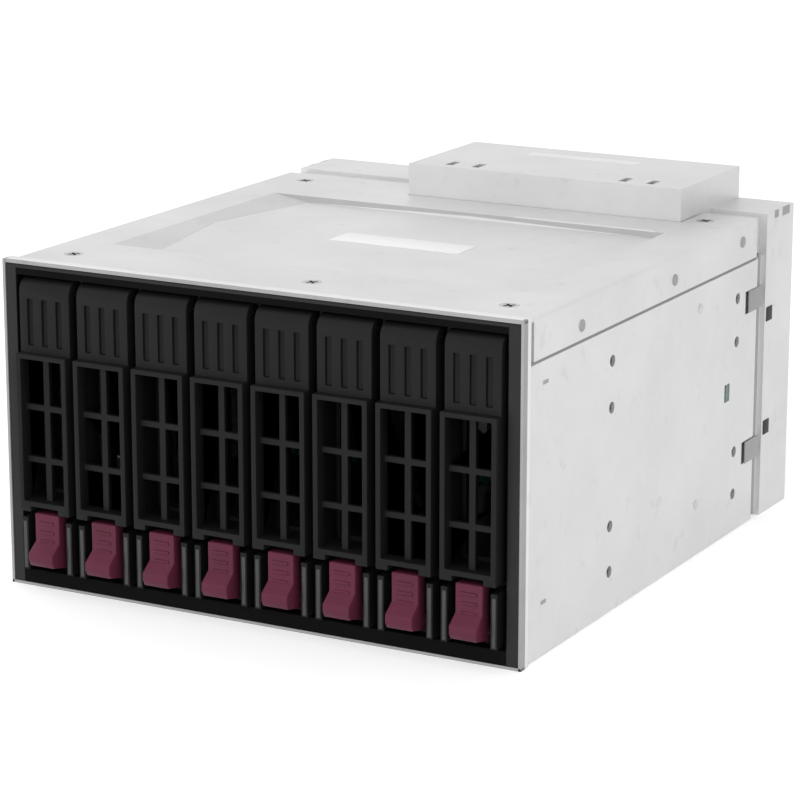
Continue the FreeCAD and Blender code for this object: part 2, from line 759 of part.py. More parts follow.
# Rear housing: a sheet box that slides into the shell, with a hump over the fan.
def make_rear_housing():
    body = new_body("rear_housing")
    left, right = "fan_x - hump_outside", "fan_x + hump_outside"
    inner_left, inner_right = "fan_x - hump_inside", "fan_x + hump_inside"
    hump_under = "hump_top - rear_sheet"
    box = [("-half_width", "0"), ("half_width", "0"), ("half_width", "cage_height"),
           (right, "cage_height"), (right, "hump_top"), (left, "hump_top"),
           (left, "cage_height"), ("-half_width", "cage_height")]
    hollow = [("-wall_inside", "shell_sheet"), ("wall_inside", "shell_sheet"),
              ("wall_inside", "cage_height - rear_sheet"),
              (inner_right, "cage_height - rear_sheet"), (inner_right, hump_under),
              (inner_left, hump_under), (inner_left, "cage_height - rear_sheet"),
              ("-wall_inside", "cage_height - rear_sheet")]
    pad(body, "box", "XZ", "rear_start", "rear_outside", [box])
    pad(body, "hump", "XZ", "hump_front", "rear_start",
        [rectangle(left, right, "ring_top - rear_sheet", "hump_top")])
    pocket(body, "hollow", "XZ", "rear_start + rear_sheet", "rear_inside", [hollow])
    ring = ring_outline("sheet_gap")
    ring_hole = ring_outline("sheet_gap + rear_sheet")
    pad(body, "joggle_ring", "XZ", "joggle_start", "rear_start + rear_sheet / 2", [ring])
    pad(body, "top_flange", "XZ", "joggle_start - flange_lead", "joggle_start",
        [centred("ring_joggle", "ring_top - rear_sheet", "ring_top")])
    pocket(body, "ring_hollow", "XZ", "joggle_start", "rear_start + rear_sheet", [ring_hole])
    pocket(body, "fan_bay", "XZ", "hump_front + rear_sheet", "rear_start + rear_sheet",
           [rectangle(inner_left, inner_right, "ring_top - 2 * rear_sheet", hump_under)])
    pocket(body, "fan_opening", "XZ", "rear_inside", "rear_outside",
           circles=[("fan_x", "fan_z", "bore_radius")])
    pocket(body, "fan_screw_holes", "XZ", "rear_inside", "rear_outside",
           rounds(fan_holes("fan_x", "fan_z"), "fan_hole_radius", PIN_SIDES))
    pocket(body, "cable_window", "XZ", "rear_inside", "rear_outside",
           [rectangle("cable_window_left", "cable_window_right", "cable_window_low",
                      "cable_window_high")])
    slots = []
    for reach in ("hump_slot_inner", "hump_slot_outer"):
        for side in ("-1", "1"):
            middle = f"fan_x + {side} * {reach}"
            slots.append(rectangle(f"{middle} - hump_slot_width / 2",
                                   f"{middle} + hump_slot_width / 2",
                                   "hump_front + hump_slot_place - hump_slot_length / 2",
                                   "hump_front + hump_slot_place + hump_slot_length / 2"))
    pocket(body, "hump_slots", "XY", hump_under, "hump_top", slots)
    pocket(body, "cover_screw_holes", "XY", "ring_top - rear_sheet", "ring_top",
           rounds(BACK_SCREWS, "cover_screw_radius + screw_clearance", PIN_SIDES))


def ring_outline(inset):
    """Return the outline that fits inside the shell and the cover, drawn in by a distance."""
    top = (f"joggle_inside - ({inset})", f"cover_inside - ({inset})")
    return mirrored(shell_inside(inset)[:-1] + [top])


# Fan: barrel frame with its stator, rotor, finger guard and screws.
def fan_holes(middle_x="0", middle_z="0"):
    """Return the places of the fan's four screws about its middle."""
    return [(f"{middle_x} + {side} * fan_hole", f"{middle_z} + {rise} * fan_hole")
            for side in ("-1", "1") for rise in ("-1", "1")]


def fan_body(name):
    """Start a body centred on the fan's axis."""
    return new_body(name, x="fan_x", z="fan_z")


def make_fan_frame():
    body = fan_body("fan_frame")
    half = "fan_size / 2"
    square = centred(half, f"-({half})", half)
    pad(body, "block", "XZ", "fan_front", "rear_inside", [square])
    pocket(body, "waist", "XZ", "fan_front + fan_flange", "rear_inside - fan_flange",
           [centred(f"{half} + 1", f"-({half}) - 1", f"{half} + 1"),
            many_sided("0", "0", "bore_radius + fan_barrel_wall", RING_SIDES)])
    pocket(body, "bore", "XZ", "fan_front", "rear_inside", circles=[("0", "0", "bore_radius")])
    stator_front = "rear_inside - stator_thick"
    arm = "strut_width / 2"
    reach = "bore_radius + fan_barrel_wall / 2"
    pad(body, "struts", "XZ", stator_front, "rear_inside", [centred(arm, f"-({reach})", reach)])
    pad(body, "cross_struts", "XZ", stator_front, "rear_inside",
        [centred(reach, f"-({arm})", arm)])
    pad(body, "stator", "XZ", stator_front, "rear_inside",
        [many_sided("0", "0", "stator_radius", RING_SIDES)])
    pocket(body, "bearing", "XZ", stator_front, f"{stator_front} + rotor_shaft_length",
           circles=[("0", "0", "rotor_shaft_radius + shaft_clearance")])
    pocket(body, "screw_holes", "XZ", "fan_front", "rear_inside",
           rounds(fan_holes(), "fan_hole_radius", PIN_SIDES))


def make_fan_rotor():
    body = fan_body("fan_rotor")
    hub_front = "fan_front + rotor_front_gap"
    hub_rear = "rear_inside - stator_thick - rotor_stator_gap"
    blade_front, blade_rear = f"{hub_front} + blade_inset", f"{hub_rear} - blade_inset"
    middle = f"(({blade_front}) + ({blade_rear})) / 2"
    pad(body, "hub", "XZ", hub_front, hub_rear,
        [many_sided("0", "0", "rotor_hub_radius", 3 * BLADES)])
    blade = pad(body, "blade", "XY", "rotor_hub_radius - blade_root", "blade_reach", [[
        ("-blade_sweep", blade_front), ("blade_thick - blade_sweep", blade_front),
        ("blade_thick + blade_camber", middle), ("blade_sweep + blade_thick / 2", blade_rear),
        ("blade_sweep", blade_rear), ("blade_camber", middle)]])
    blades = body.newObject("PartDesign::PolarPattern", "blades")
    blades.Originals = [blade]
    blades.Axis = (own_plane(body, "Y_Axis"), [""])
    blades.Angle = 360
    blades.Occurrences = BLADES
    body.Tip = blades
    pad(body, "shaft", "XZ", hub_rear,
        f"{hub_rear} + rotor_stator_gap + rotor_shaft_length - rotor_end_gap",
        circles=[("0", "0", "rotor_shaft_radius")])


def guard_arm_outline(turn):
    """Return one diagonal arm of the guard, rising to the right for a turn of 1."""
    half = "guard_arm / 2 * sqrt(0.5)"
    return [(f"-fan_hole - {half}", f"-({turn}) * (fan_hole - {half})"),
            (f"-fan_hole + {half}", f"-({turn}) * (fan_hole + {half})"),
            (f"fan_hole + {half}", f"{turn} * (fan_hole - {half})"),
            (f"fan_hole - {half}", f"{turn} * (fan_hole + {half})")]


def make_finger_guard():
    body = fan_body("finger_guard")
    start, end = "rear_outside", "guard_back"
    pad(body, "rising_arm", "XZ", start, end, [guard_arm_outline("1")])
    pad(body, "falling_arm", "XZ", start, end, [guard_arm_outline("-1")])
    pad(body, "hub_disc", "XZ", start, end, [many_sided("0", "0", "guard_first", SCREW_SIDES)])
    for ring in range(1, GUARD_RINGS):
        reach = f"guard_first + {ring} * guard_step"
        pad(body, f"ring_{ring}", "XZ", start, end,
            [many_sided("0", "0", reach, RING_SIDES),
             many_sided("0", "0", f"{reach} - guard_ring", RING_SIDES)])
    pad(body, "ears", "XZ", start, end, rounds(fan_holes(), "guard_ear", SCREW_SIDES))
    pocket(body, "screw_holes", "XZ", start, end, rounds(fan_holes(), "fan_hole_radius", PIN_SIDES))


def make_fan_screws():
    body = fan_body("fan_screws")
    body.AllowCompound = True
    pad(body, "shanks", "XZ", "guard_back - fan_screw_length", "guard_back",
        rounds(fan_holes(), "fan_screw_radius", PIN_SIDES))
    pad(body, "heads", "XZ", "guard_back", "rear_end",
        rounds(fan_holes(), "fan_screw_head", SCREW_SIDES))


# Carrier forms: drawn once about their own bay's middle, and copied into each bay.
def bore(kind, clearance):
    """Return a bore's outline, its flats a clearance off the pin's corners."""
    place = {"lever": ("pin_y", "pin_z"), "latch": ("latch_pin_y", "latch_pin_z")}[kind]
    return many_sided(*place, f"({kind}_pin_radius + {clearance}) / cos({180 / PIN_SIDES})",
                      PIN_SIDES)


def make_tray_form():
    """Tray: rails above and below the drive, a vented bulkhead, latch posts and hinge ears."""
    form = new_form("tray_form")
    taper, lead = "rail_taper", "rail_lead"
    side = [("bulkhead_front", "face_low"), (f"rail_rear - {lead}", "face_low"),
            ("rail_rear", f"face_low + {taper}"), ("rail_rear", "drive_low"),
            ("bulkhead_rear", "drive_low"), ("bulkhead_rear", "drive_high"),
            ("rail_rear", "drive_high"), ("rail_rear", f"face_high - {taper}"),
            (f"rail_rear - {lead}", "face_high"), ("bulkhead_front", "face_high")]
    pad(form, "frame", "YZ", "-half_rail", "half_rail", [side])
    pocket(form, "air_window", "XZ", "bulkhead_front", "bulkhead_rear",
           [centred("half_rail - window_side", "grille_low + window_margin",
                    "grille_top - window_margin")])
    pad(form, "latch_posts", "XZ", "post_front", "post_back",
        both_sides("post_inside", "half_carrier", "face_low", "post_top"))
    nose = "ear_radius * tan(22.5)"
    ear = [("post_back", "pin_z - ear_radius"), (f"pin_y - {nose}", "pin_z - ear_radius"),
           ("pin_y - ear_radius", f"pin_z - {nose}"), ("pin_y - ear_radius", f"pin_z + {nose}"),
           (f"pin_y - {nose}", "pin_z + ear_radius"), (f"pin_y + {nose}", "pin_z + ear_radius"),
           ("pin_y + ear_radius", f"pin_z + {nose}"), ("post_back", f"pin_z + {nose}")]
    pad(form, "right_ear", "YZ", "ear_inside", "ear_outside", [ear])
    pad(form, "left_ear", "YZ", "-ear_outside", "-ear_inside", [ear])
    pocket(form, "pin_holes", "YZ", "-half_carrier - 1", "half_carrier + 1",
           [bore(kind, "pin_seat_clearance") for kind in ("lever", "latch")])
    pocket(form, "pipe_grooves", "XZ", "post_front", "rail_rear",
           both_sides("pipe_inside - pipe_clearance", "half_rail + pipe_clearance",
                      "pipe_low - pipe_clearance", "pipe_high + pipe_clearance"))
    spots = [("0", f"drive_rear - {place}") for place in ("drive_hole_near", "drive_hole_far")]
    pocket(form, "drive_holes", "XY", "face_low", "face_high",
           rounds(spots, "drive_hole_radius", PIN_SIDES))
    return form


def make_lever_form():
    """Lever: hollow front plate with a raised frame round its grille, hinged at its round top."""
    form = new_form("lever_form")
    pad(form, "plate", "XZ", "-face_proud", "lever_back",
        [centred("half_carrier", "lever_low", "pin_z")])
    pad(form, "round_top", "YZ", "-half_carrier", "half_carrier",
        circles=[("pin_y", "pin_z", "lever_round")])
    pad(form, "raised_frame", "XZ", "-face_proud - frame_proud", "wall_back",
        [centred("half_carrier", "lever_low", "frame_top"),
         centred("grille_side", "grille_low", "grille_top")])
    pocket(form, "hollow", "XZ", "wall_back", "lever_back",
           [centred("cheek_inside", "grille_low", "pin_z")])
    room_top = "pin_z + ear_radius + ear_gap"
    pocket(form, "ear_room", "YZ", "-cheek_inside", "cheek_inside", [[
        ("wall_back", "pin_z - lever_round"), ("lever_back + 1", "pin_z - lever_round"),
        ("lever_back + 1", "face_high + 1"), ("pin_y", "face_high + 1"),
        ("pin_y", room_top), ("wall_back", room_top)]])
    openings = []
    for row in range(GRILLE_ROWS):
        high = f"grille_top - {row} * grille_pitch"
        low = f"{high} - grille_height" if row < GRILLE_ROWS - 1 else "grille_low"
        openings += both_sides("grille_post / 2", "grille_side", low, high)
    pocket(form, "grille", "XZ", "-face_proud", "wall_back", openings)
    flute_low = "frame_top + flute_margin"
    flutes = [rectangle(f"{side} * flute_pitch - flute_width / 2",
                        f"{side} * flute_pitch + flute_width / 2",
                        flute_low, f"{flute_low} + flute_length") for side in (-1, 0, 1)]
    pocket(form, "flutes", "XZ", "-face_proud", "flute_depth - face_proud", flutes)
    pocket(form, "catch_notch", "XZ", "-face_proud - frame_proud", "lever_back",
           [centred("latch_half + catch_side_gap", "lever_low - 1", "catch_notch_top")])
    pocket(form, "pin_hole", "YZ", "-half_carrier - 1", "half_carrier + 1",
           [bore("lever", "pin_clearance")])
    return form


def make_latch_form():
    """Latch: a button hollow at its back, with a ledge to press, pivoting between the posts."""
    form = new_form("latch_form")
    side = [("latch_face", "latch_top"), ("latch_face", "ledge_root"),
            ("ledge_tip", "ledge_top"), ("ledge_tip", "ledge_top - ledge_edge"),
            ("ledge_tip + ledge_undercut", "latch_low"), ("latch_pin_y", "latch_low"),
            ("latch_pin_y", "barrel_top"), ("latch_back", "barrel_top"),
            ("latch_back", "latch_top")]
    pad(form, "button", "YZ", "-latch_half", "latch_half", [side])
    pad(form, "barrel", "YZ", "-latch_half", "latch_half",
        circles=[("latch_pin_y", "latch_pin_z", "latch_pin_z - latch_low")])
    pocket(form, "hollow", "XZ", "latch_face + latch_wall", "latch_back",
           [centred("latch_half - latch_wall", "barrel_top", "latch_top - latch_wall")])
    pocket(form, "pin_hole", "YZ", "-latch_half", "latch_half",
           [bore("latch", "pin_clearance")])
    return form


def make_pipe_form():
    """Light pipes: two square rods along the lower rail, from the board to the front posts."""
    form = new_form("pipe_form")
    form.AllowCompound = True
    pad(form, "rods", "XZ", "post_front", "drive_rear",
        both_sides("pipe_inside", "half_rail", "pipe_low", "pipe_high"))
    return form


def make_hardware_form():
    """Hardware: the lever's and the latch's steel pins, and the latch's leaf spring."""
    form = new_form("hardware_form")
    form.AllowCompound = True
    pad(form, "lever_pin", "YZ", "-half_carrier", "half_carrier",
        [many_sided("pin_y", "pin_z", "lever_pin_radius", PIN_SIDES)])
    pad(form, "latch_pin", "YZ", "-half_carrier", "half_carrier",
        [many_sided("latch_pin_y", "latch_pin_z", "latch_pin_radius", PIN_SIDES)])
    leaf = [("bulkhead_front", "latch_low"), ("bulkhead_front", "latch_low + leaf_length"),
            ("bulkhead_front - leaf_thick", "latch_low + leaf_length"),
            ("bulkhead_front - leaf_bow", "latch_low + leaf_length / 3"),
            ("bulkhead_front - leaf_thick", "latch_low")]
    pad(form, "latch_spring", "YZ", "-leaf_width / 2", "leaf_width / 2", [leaf])
    return form


def place_in_bays(form, kind):
    """Place a copy of a form in every bay, each as a part of its own."""
    for bay in range(BAYS):
        name = f"carrier_{bay + 1}_{kind}"
        copy = doc.addObject("Part::Compound", name)
        copy.Label = name
        copy.Links = [form]
        bind(copy, "Placement.Base.x", bay_x(bay))
        bind(copy, "Placement.Base.y", "-origin_y")
        parts.append(copy)


make_bezel()
make_shell()
make_cover()
make_cover_screws()
make_guides()
make_board()
make_drive_sockets()
make_cable_sockets("data_connectors", "data")
make_cable_sockets("power_connectors", "power")
make_rear_housing()
make_fan_frame()
make_fan_rotor()
make_finger_guard()
make_fan_screws()
for make_form, kind in ((make_tray_form, "tray"), (make_lever_form, "lever"),
                        (make_latch_form, "latch"), (make_pipe_form, "light_pipes"),
                        (make_hardware_form, "hardware")):
    place_in_bays(make_form(), kind)

doc.recompute()
for item in doc.Objects:
    if "Invalid" in item.State or "Error" in item.State:
        raise RuntimeError(f"{item.Label} failed: {item.State}")
os.makedirs("parts", exist_ok=True)
for part in parts:
    shape = part.Shape
    if shape.isNull() or not shape.isValid():
        raise RuntimeError(f"{part.Label} has no valid shape")
    shape.exportStep(f"parts/{part.Label}.step")
    print(f"{part.Label}: {len(shape.Solids)} solids, {shape.Volume / 1000:.2f} cm3")
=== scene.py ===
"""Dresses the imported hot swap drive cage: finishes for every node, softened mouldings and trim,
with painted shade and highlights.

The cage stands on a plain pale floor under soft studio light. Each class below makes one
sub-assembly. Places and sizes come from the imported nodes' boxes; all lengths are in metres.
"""

import logging
import math
from dataclasses import dataclass
from enum import Enum

import bmesh
import bpy
from mathutils import Matrix, Vector


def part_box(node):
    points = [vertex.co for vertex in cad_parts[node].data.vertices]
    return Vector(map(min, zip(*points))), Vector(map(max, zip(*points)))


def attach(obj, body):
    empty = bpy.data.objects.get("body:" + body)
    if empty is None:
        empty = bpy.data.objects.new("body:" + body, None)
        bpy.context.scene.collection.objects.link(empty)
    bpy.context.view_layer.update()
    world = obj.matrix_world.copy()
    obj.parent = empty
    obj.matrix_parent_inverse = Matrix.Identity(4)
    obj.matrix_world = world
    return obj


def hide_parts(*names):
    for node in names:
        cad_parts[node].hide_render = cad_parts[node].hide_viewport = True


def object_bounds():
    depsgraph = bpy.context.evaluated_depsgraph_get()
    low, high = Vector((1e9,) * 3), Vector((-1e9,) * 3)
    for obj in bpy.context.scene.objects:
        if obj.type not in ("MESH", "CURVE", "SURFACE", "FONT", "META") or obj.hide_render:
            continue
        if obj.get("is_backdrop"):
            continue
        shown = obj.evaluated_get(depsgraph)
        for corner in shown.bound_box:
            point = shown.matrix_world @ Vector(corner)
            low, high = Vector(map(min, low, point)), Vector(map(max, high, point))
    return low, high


LOG = logging.getLogger("drive_cage")
MM = 0.001
BAYS = 8
WELD = 1e-6  # points nearer to each other than this are one
CREASE = math.radians(32)  # edges that turn by more than this stay sharp
Span = tuple[float, float]
Point = tuple[float, float, float]
Colour = Point
Tree = bpy.types.NodeTree
Socket = bpy.types.NodeSocket
Input = float | tuple[float, ...] | Socket


class Axis(Enum):
    """A direction of the cage, as the turn that brings +Z onto it."""

    RIGHT = Matrix.Rotation(math.radians(90), 4, "Y")
    LEFT = Matrix.Rotation(math.radians(-90), 4, "Y")
    BACK = Matrix.Rotation(math.radians(-90), 4, "X")
    UP = Matrix.Identity(4)

    @property
    def outward(self) -> Vector:
        """Return the direction itself."""
        return self.value.to_3x3() @ Vector((0, 0, 1))


def connect(tree: Tree, socket: Socket, value: Input) -> None:
    """Give an input a constant or another node's output."""
    if isinstance(value, Socket):
        tree.links.new(value, socket)
    else:
        socket.default_value = value


def add_node(tree: Tree, kind: str, inputs: dict[str | int, Input],
             **settings: str) -> bpy.types.Node:
    """Add a shader node.

    Args:
        tree: The tree that it goes in.
        kind: Blender's name for it, without its first part.
        inputs: What its inputs get, by their names or numbers.
        settings: Its own settings.

    Returns:
        The node.
    """
    node = tree.nodes.new(f"ShaderNode{kind}")
    for name, setting in settings.items():
        setattr(node, name, setting)
    for key, value in inputs.items():
        connect(tree, node.inputs[key], value)
    return node


class Shader:
    """One material's node tree, built up from named textures in Object coordinates."""

    def __init__(self, name: str, colour: Colour, roughness: float, metallic: float = 0.0) -> None:
        """Start a material with the constants that are the same all over it.

        Args:
            name: The material's name.
            colour: Linear base colour.
            roughness: Surface roughness, 0 to 1.
            metallic: 1 for bare metal, 0 for anything else.
        """
        self.material = bpy.data.materials.new(name)
        self.material.use_nodes = True
        self.tree = self.material.node_tree
        self.set("Base Color", (*colour, 1.0))
        self.set("Roughness", roughness)
        self.set("Metallic", metallic)
        self.place = add_node(self.tree, "TexCoord", {}).outputs["Object"]

    def set(self, name: str, value: Input) -> None:
        """Set one of the surface's inputs to a constant or a texture."""
        connect(self.tree, self.tree.nodes["Principled BSDF"].inputs[name], value)

    def stretched(self, along: Point) -> Socket:
        """Return coordinates stretched by a factor on each axis."""
        return add_node(self.tree, "Mapping",
                        {"Scale": along, "Vector": self.place}).outputs["Vector"]

    def noise(self, scale: float, detail: float = 4.0, place: Socket | None = None) -> Socket:
        """Return a cloudy value between 0 and 1.

        Args:
            scale: Clouds to a metre.
            detail: Octaves of finer clouds.
            place: Coordinates to read, or None for the plain ones.

        Returns:
            The value's socket.
        """
        inputs = {"Scale": scale, "Detail": detail, "Vector": place or self.place}
        return add_node(self.tree, "TexNoise", inputs).outputs["Fac"]

    def crystals(self, scale: float) -> Socket:
        """Return one flat colour a cell, as zinc crystals have."""
        return add_node(self.tree, "TexVoronoi",
                        {"Scale": scale, "Vector": self.place}).outputs["Color"]

    def spread(self, source: Socket, low: float, high: float,
               start: float = 0.3, end: float = 0.7) -> Socket:
        """Map a texture's middle range onto a range of values."""
        inputs = {"From Min": start, "From Max": end, "To Min": low, "To Max": high,
                  "Value": source}
        return add_node(self.tree, "MapRange", inputs).outputs["Result"]

    def tint(self, source: Socket, dark: Colour, light: Colour,
             start: float = 0.3, end: float = 0.7) -> Socket:
        """Map a texture onto a range of colours."""
        node = add_node(self.tree, "ValToRGB", {"Fac": source})
        for stop, place, colour in zip(node.color_ramp.elements, (start, end), (dark, light)):
            stop.position = place
            stop.color = (*colour, 1.0)
        return node.outputs["Color"]

    def mix(self, factor: float | Socket, first: Socket,
            second: Socket | Colour, mode: str = "MIX") -> Socket:
        """Blend two colours.

        Args:
            factor: Share of the second colour, or a texture that sets it.
            first: The first colour's socket.
            second: The second colour's socket, or a plain colour.
            mode: Blender's name of the blending mode.

        Returns:
            The blended colour's socket.
        """
        if isinstance(second, tuple):
            second = (*second, 1.0)
        return add_node(self.tree, "Mix", {0: factor, 6: first, 7: second}, data_type="RGBA",
                        blend_type=mode).outputs[2]

    def bump(self, heights: list[tuple[Socket, float, float]]) -> None:
        """Stack height textures, each with its depth and its strength, on the surface."""
        below: dict[str, Input] = {}
        for source, depth, strength in heights:
            node = add_node(self.tree, "Bump", {
                "Distance": depth, "Strength": strength, "Height": source, **below})
            below = {"Normal": node.outputs["Normal"]}
        self.set("Normal", below["Normal"])


def new_object(name: str, data: bpy.types.ID) -> bpy.types.Object:
    """Put a new object into the scene."""
    made = bpy.data.objects.new(name, data)
    bpy.context.scene.collection.objects.link(made)
    return made


def shade(colour: Colour, factor: float) -> Colour:
    """Return a colour made darker or lighter by a factor."""
    return (colour[0] * factor, colour[1] * factor, colour[2] * factor)


@dataclass(frozen=True)
class ZincSheet:
    """Zinc coated sheet steel: faint crystals, clouded sheen, rolling lines and small scuffs.

    The textures' scales, here and in the other finishes, are in features to a metre.
    """

    name: str
    colour: Colour = (0.695, 0.695, 0.70)
    roughness: float = 0.38
    metallic: float = 0.5
    crystal: float = 260.0
    cloud: float = 26.0
    rolling: float = 900.0
    scuff: float = 160.0
    sheen: float = 45.0

    def build(self) -> bpy.types.Material:
        """Return the sheet's material."""
        shader = Shader(self.name, self.colour, self.roughness, self.metallic)
        crystals = shader.tint(shader.crystals(self.crystal), (0.35, 0.35, 0.35),
                               (0.65, 0.65, 0.65), 0.0, 1.0)
        clouds = shader.noise(self.cloud, 5.0)
        rolled = shader.noise(self.rolling, 2.0, shader.stretched((1.0, 0.03, 1.0)))
        base = shader.tint(clouds, shade(self.colour, 0.95), shade(self.colour, 1.04))
        base = shader.mix(0.1, base, crystals, "OVERLAY")
        scuffs = shader.spread(shader.noise(self.scuff, 8.0), 0.0, 0.35, 0.64, 0.7)
        base = shader.mix(scuffs, base, shade(self.colour, 0.8))
        shader.set("Base Color", base)
        shader.set("Roughness", shader.spread(shader.noise(self.sheen, 6.0),
                                              self.roughness - 0.05, self.roughness + 0.07))
        shader.bump([(rolled, 0.02 * MM, 0.25), (clouds, 0.2 * MM, 0.1)])
        return shader.material


@dataclass(frozen=True)
class BareSteel:
    """Plated or drawn steel of pins, screws and wires, with a fine drawn grain."""

    name: str
    colour: Colour
    roughness: float = 0.3
    metallic: float = 1.0
    grain: float = 1400.0
    wear: float = 220.0

    def build(self) -> bpy.types.Material:
        """Return the steel's material."""
        shader = Shader(self.name, self.colour, self.roughness, self.metallic)
        grain = shader.noise(self.grain, 3.0)
        wear = shader.noise(self.wear, 5.0)
        shader.set("Base Color", shader.tint(wear, shade(self.colour, 0.82),
                                             shade(self.colour, 1.12)))
        shader.set("Roughness", shader.spread(wear, self.roughness - 0.06,
                                              self.roughness + 0.12))
        shader.bump([(grain, 0.02 * MM, 0.3)])
        return shader.material


@dataclass(frozen=True)
class MouldedPlastic:
    """Injection moulded plastic with a spark eroded grain and a faint sheen of handling."""

    name: str
    colour: Colour
    roughness: float = 0.5
    grain: float = 2600.0
    flow: float = 70.0
    handling: float = 24.0
    depth: float = 0.03 * MM
    polish: float = 0.06
    mirror: float = 0.3

    def build(self) -> bpy.types.Material:
        """Return the plastic's material."""
        shader = Shader(self.name, self.colour, self.roughness)
        grain = shader.noise(self.grain, 3.0)
        flow = shader.noise(self.flow, 4.0)
        handled = shader.noise(self.handling, 5.0)
        base = shader.tint(flow, shade(self.colour, 0.88), shade(self.colour, 1.12))
        base = shader.mix(0.25, base, shader.tint(grain, shade(self.colour, 0.7),
                                                  shade(self.colour, 1.35)))
        shader.set("Base Color", base)
        shader.set("Roughness", shader.spread(handled, self.roughness - self.polish,
                                              self.roughness + self.polish))
        shader.set("Specular IOR Level", self.mirror)
        shader.bump([(grain, self.depth, 0.5), (flow, 0.1 * MM, 0.08)])
        return shader.material


@dataclass(frozen=True)
class ClearAcrylic:
    """Clear light pipe rod with a few faint flow lines."""

    name: str
    flow: float = 500.0

    def build(self) -> bpy.types.Material:
        """Return the acrylic's material."""
        shader = Shader(self.name, (0.92, 0.94, 0.95), 0.12)
        shader.set("Transmission Weight", 0.85)
        shader.set("IOR", 1.49)
        lines = shader.noise(self.flow, 2.0, shader.stretched((1.0, 0.1, 1.0)))
        shader.set("Roughness", shader.spread(lines, 0.06, 0.22))
        shader.bump([(lines, 0.02 * MM, 0.2)])
        return shader.material


@dataclass(frozen=True)
class FrostedWindow:
    """Frosted grey window over a light pipe that isn't lit."""

    name: str
    colour: Colour = (0.037, 0.037, 0.039)
    frost: float = 3200.0

    def build(self) -> bpy.types.Material:
        """Return the window's material."""
        shader = Shader(self.name, self.colour, 0.45)
        frost = shader.noise(self.frost, 3.0)
        shader.set("Base Color", shader.tint(frost, shade(self.colour, 0.8),
                                             shade(self.colour, 1.25)))
        shader.set("Roughness", shader.spread(frost, 0.38, 0.55))
        shader.set("Subsurface Weight", 0.1)
        shader.set("Subsurface Scale", 1 * MM)
        shader.bump([(frost, 0.02 * MM, 0.4)])
        return shader.material


@dataclass(frozen=True)
class SolderMask:
    """Circuit board: solder mask over copper tracks that run along and across it."""

    name: str
    mask: Colour = (0.012, 0.085, 0.04)
    track: Colour = (0.03, 0.17, 0.07)
    track_length: float = 9 * MM
    track_pitch: float = 1.6 * MM
    track_width: float = 0.22 * MM

    def build(self) -> bpy.types.Material:
        """Return the board's material."""
        shader = Shader(self.name, self.mask, 0.3)
        turned = add_node(shader.tree, "Mapping", {
            "Rotation": (math.radians(90), 0.0, 0.0), "Vector": shader.place})
        tracks = add_node(shader.tree, "TexBrick", {
            "Scale": 1.0, "Brick Width": self.track_length, "Row Height": self.track_pitch,
            "Mortar Size": self.track_width, "Color1": (0, 0, 0, 1), "Color2": (0, 0, 0, 1),
            "Mortar": (1, 1, 1, 1), "Vector": turned.outputs["Vector"]}).outputs["Color"]
        base = shader.tint(tracks, self.mask, self.track, 0.0, 1.0)
        shader.set("Base Color", shader.mix(0.2, base, shader.tint(
            shader.noise(90.0), shade(self.mask, 0.6), shade(self.mask, 1.6))))
        shader.set("Coat Weight", 0.4)
        shader.set("Coat Roughness", 0.15)
        shader.bump([(tracks, 0.04 * MM, 0.4)])
        return shader.material


@dataclass(frozen=True)
class BlankLabel:
    """Blank white label film with a faint paper tooth."""

    name: str
    colour: Colour = (0.9, 0.9, 0.9)
    tooth: float = 1800.0
    tone: float = 60.0

    def build(self) -> bpy.types.Material:
        """Return the label's material."""
        shader = Shader(self.name, self.colour, 0.55)
        tooth = shader.noise(self.tooth, 4.0)
        shader.set("Base Color", shader.tint(shader.noise(self.tone),
                                             shade(self.colour, 0.97), self.colour))
        shader.set("Roughness", shader.spread(tooth, 0.48, 0.62))
        shader.bump([(tooth, 0.02 * MM, 0.3)])
        return shader.material


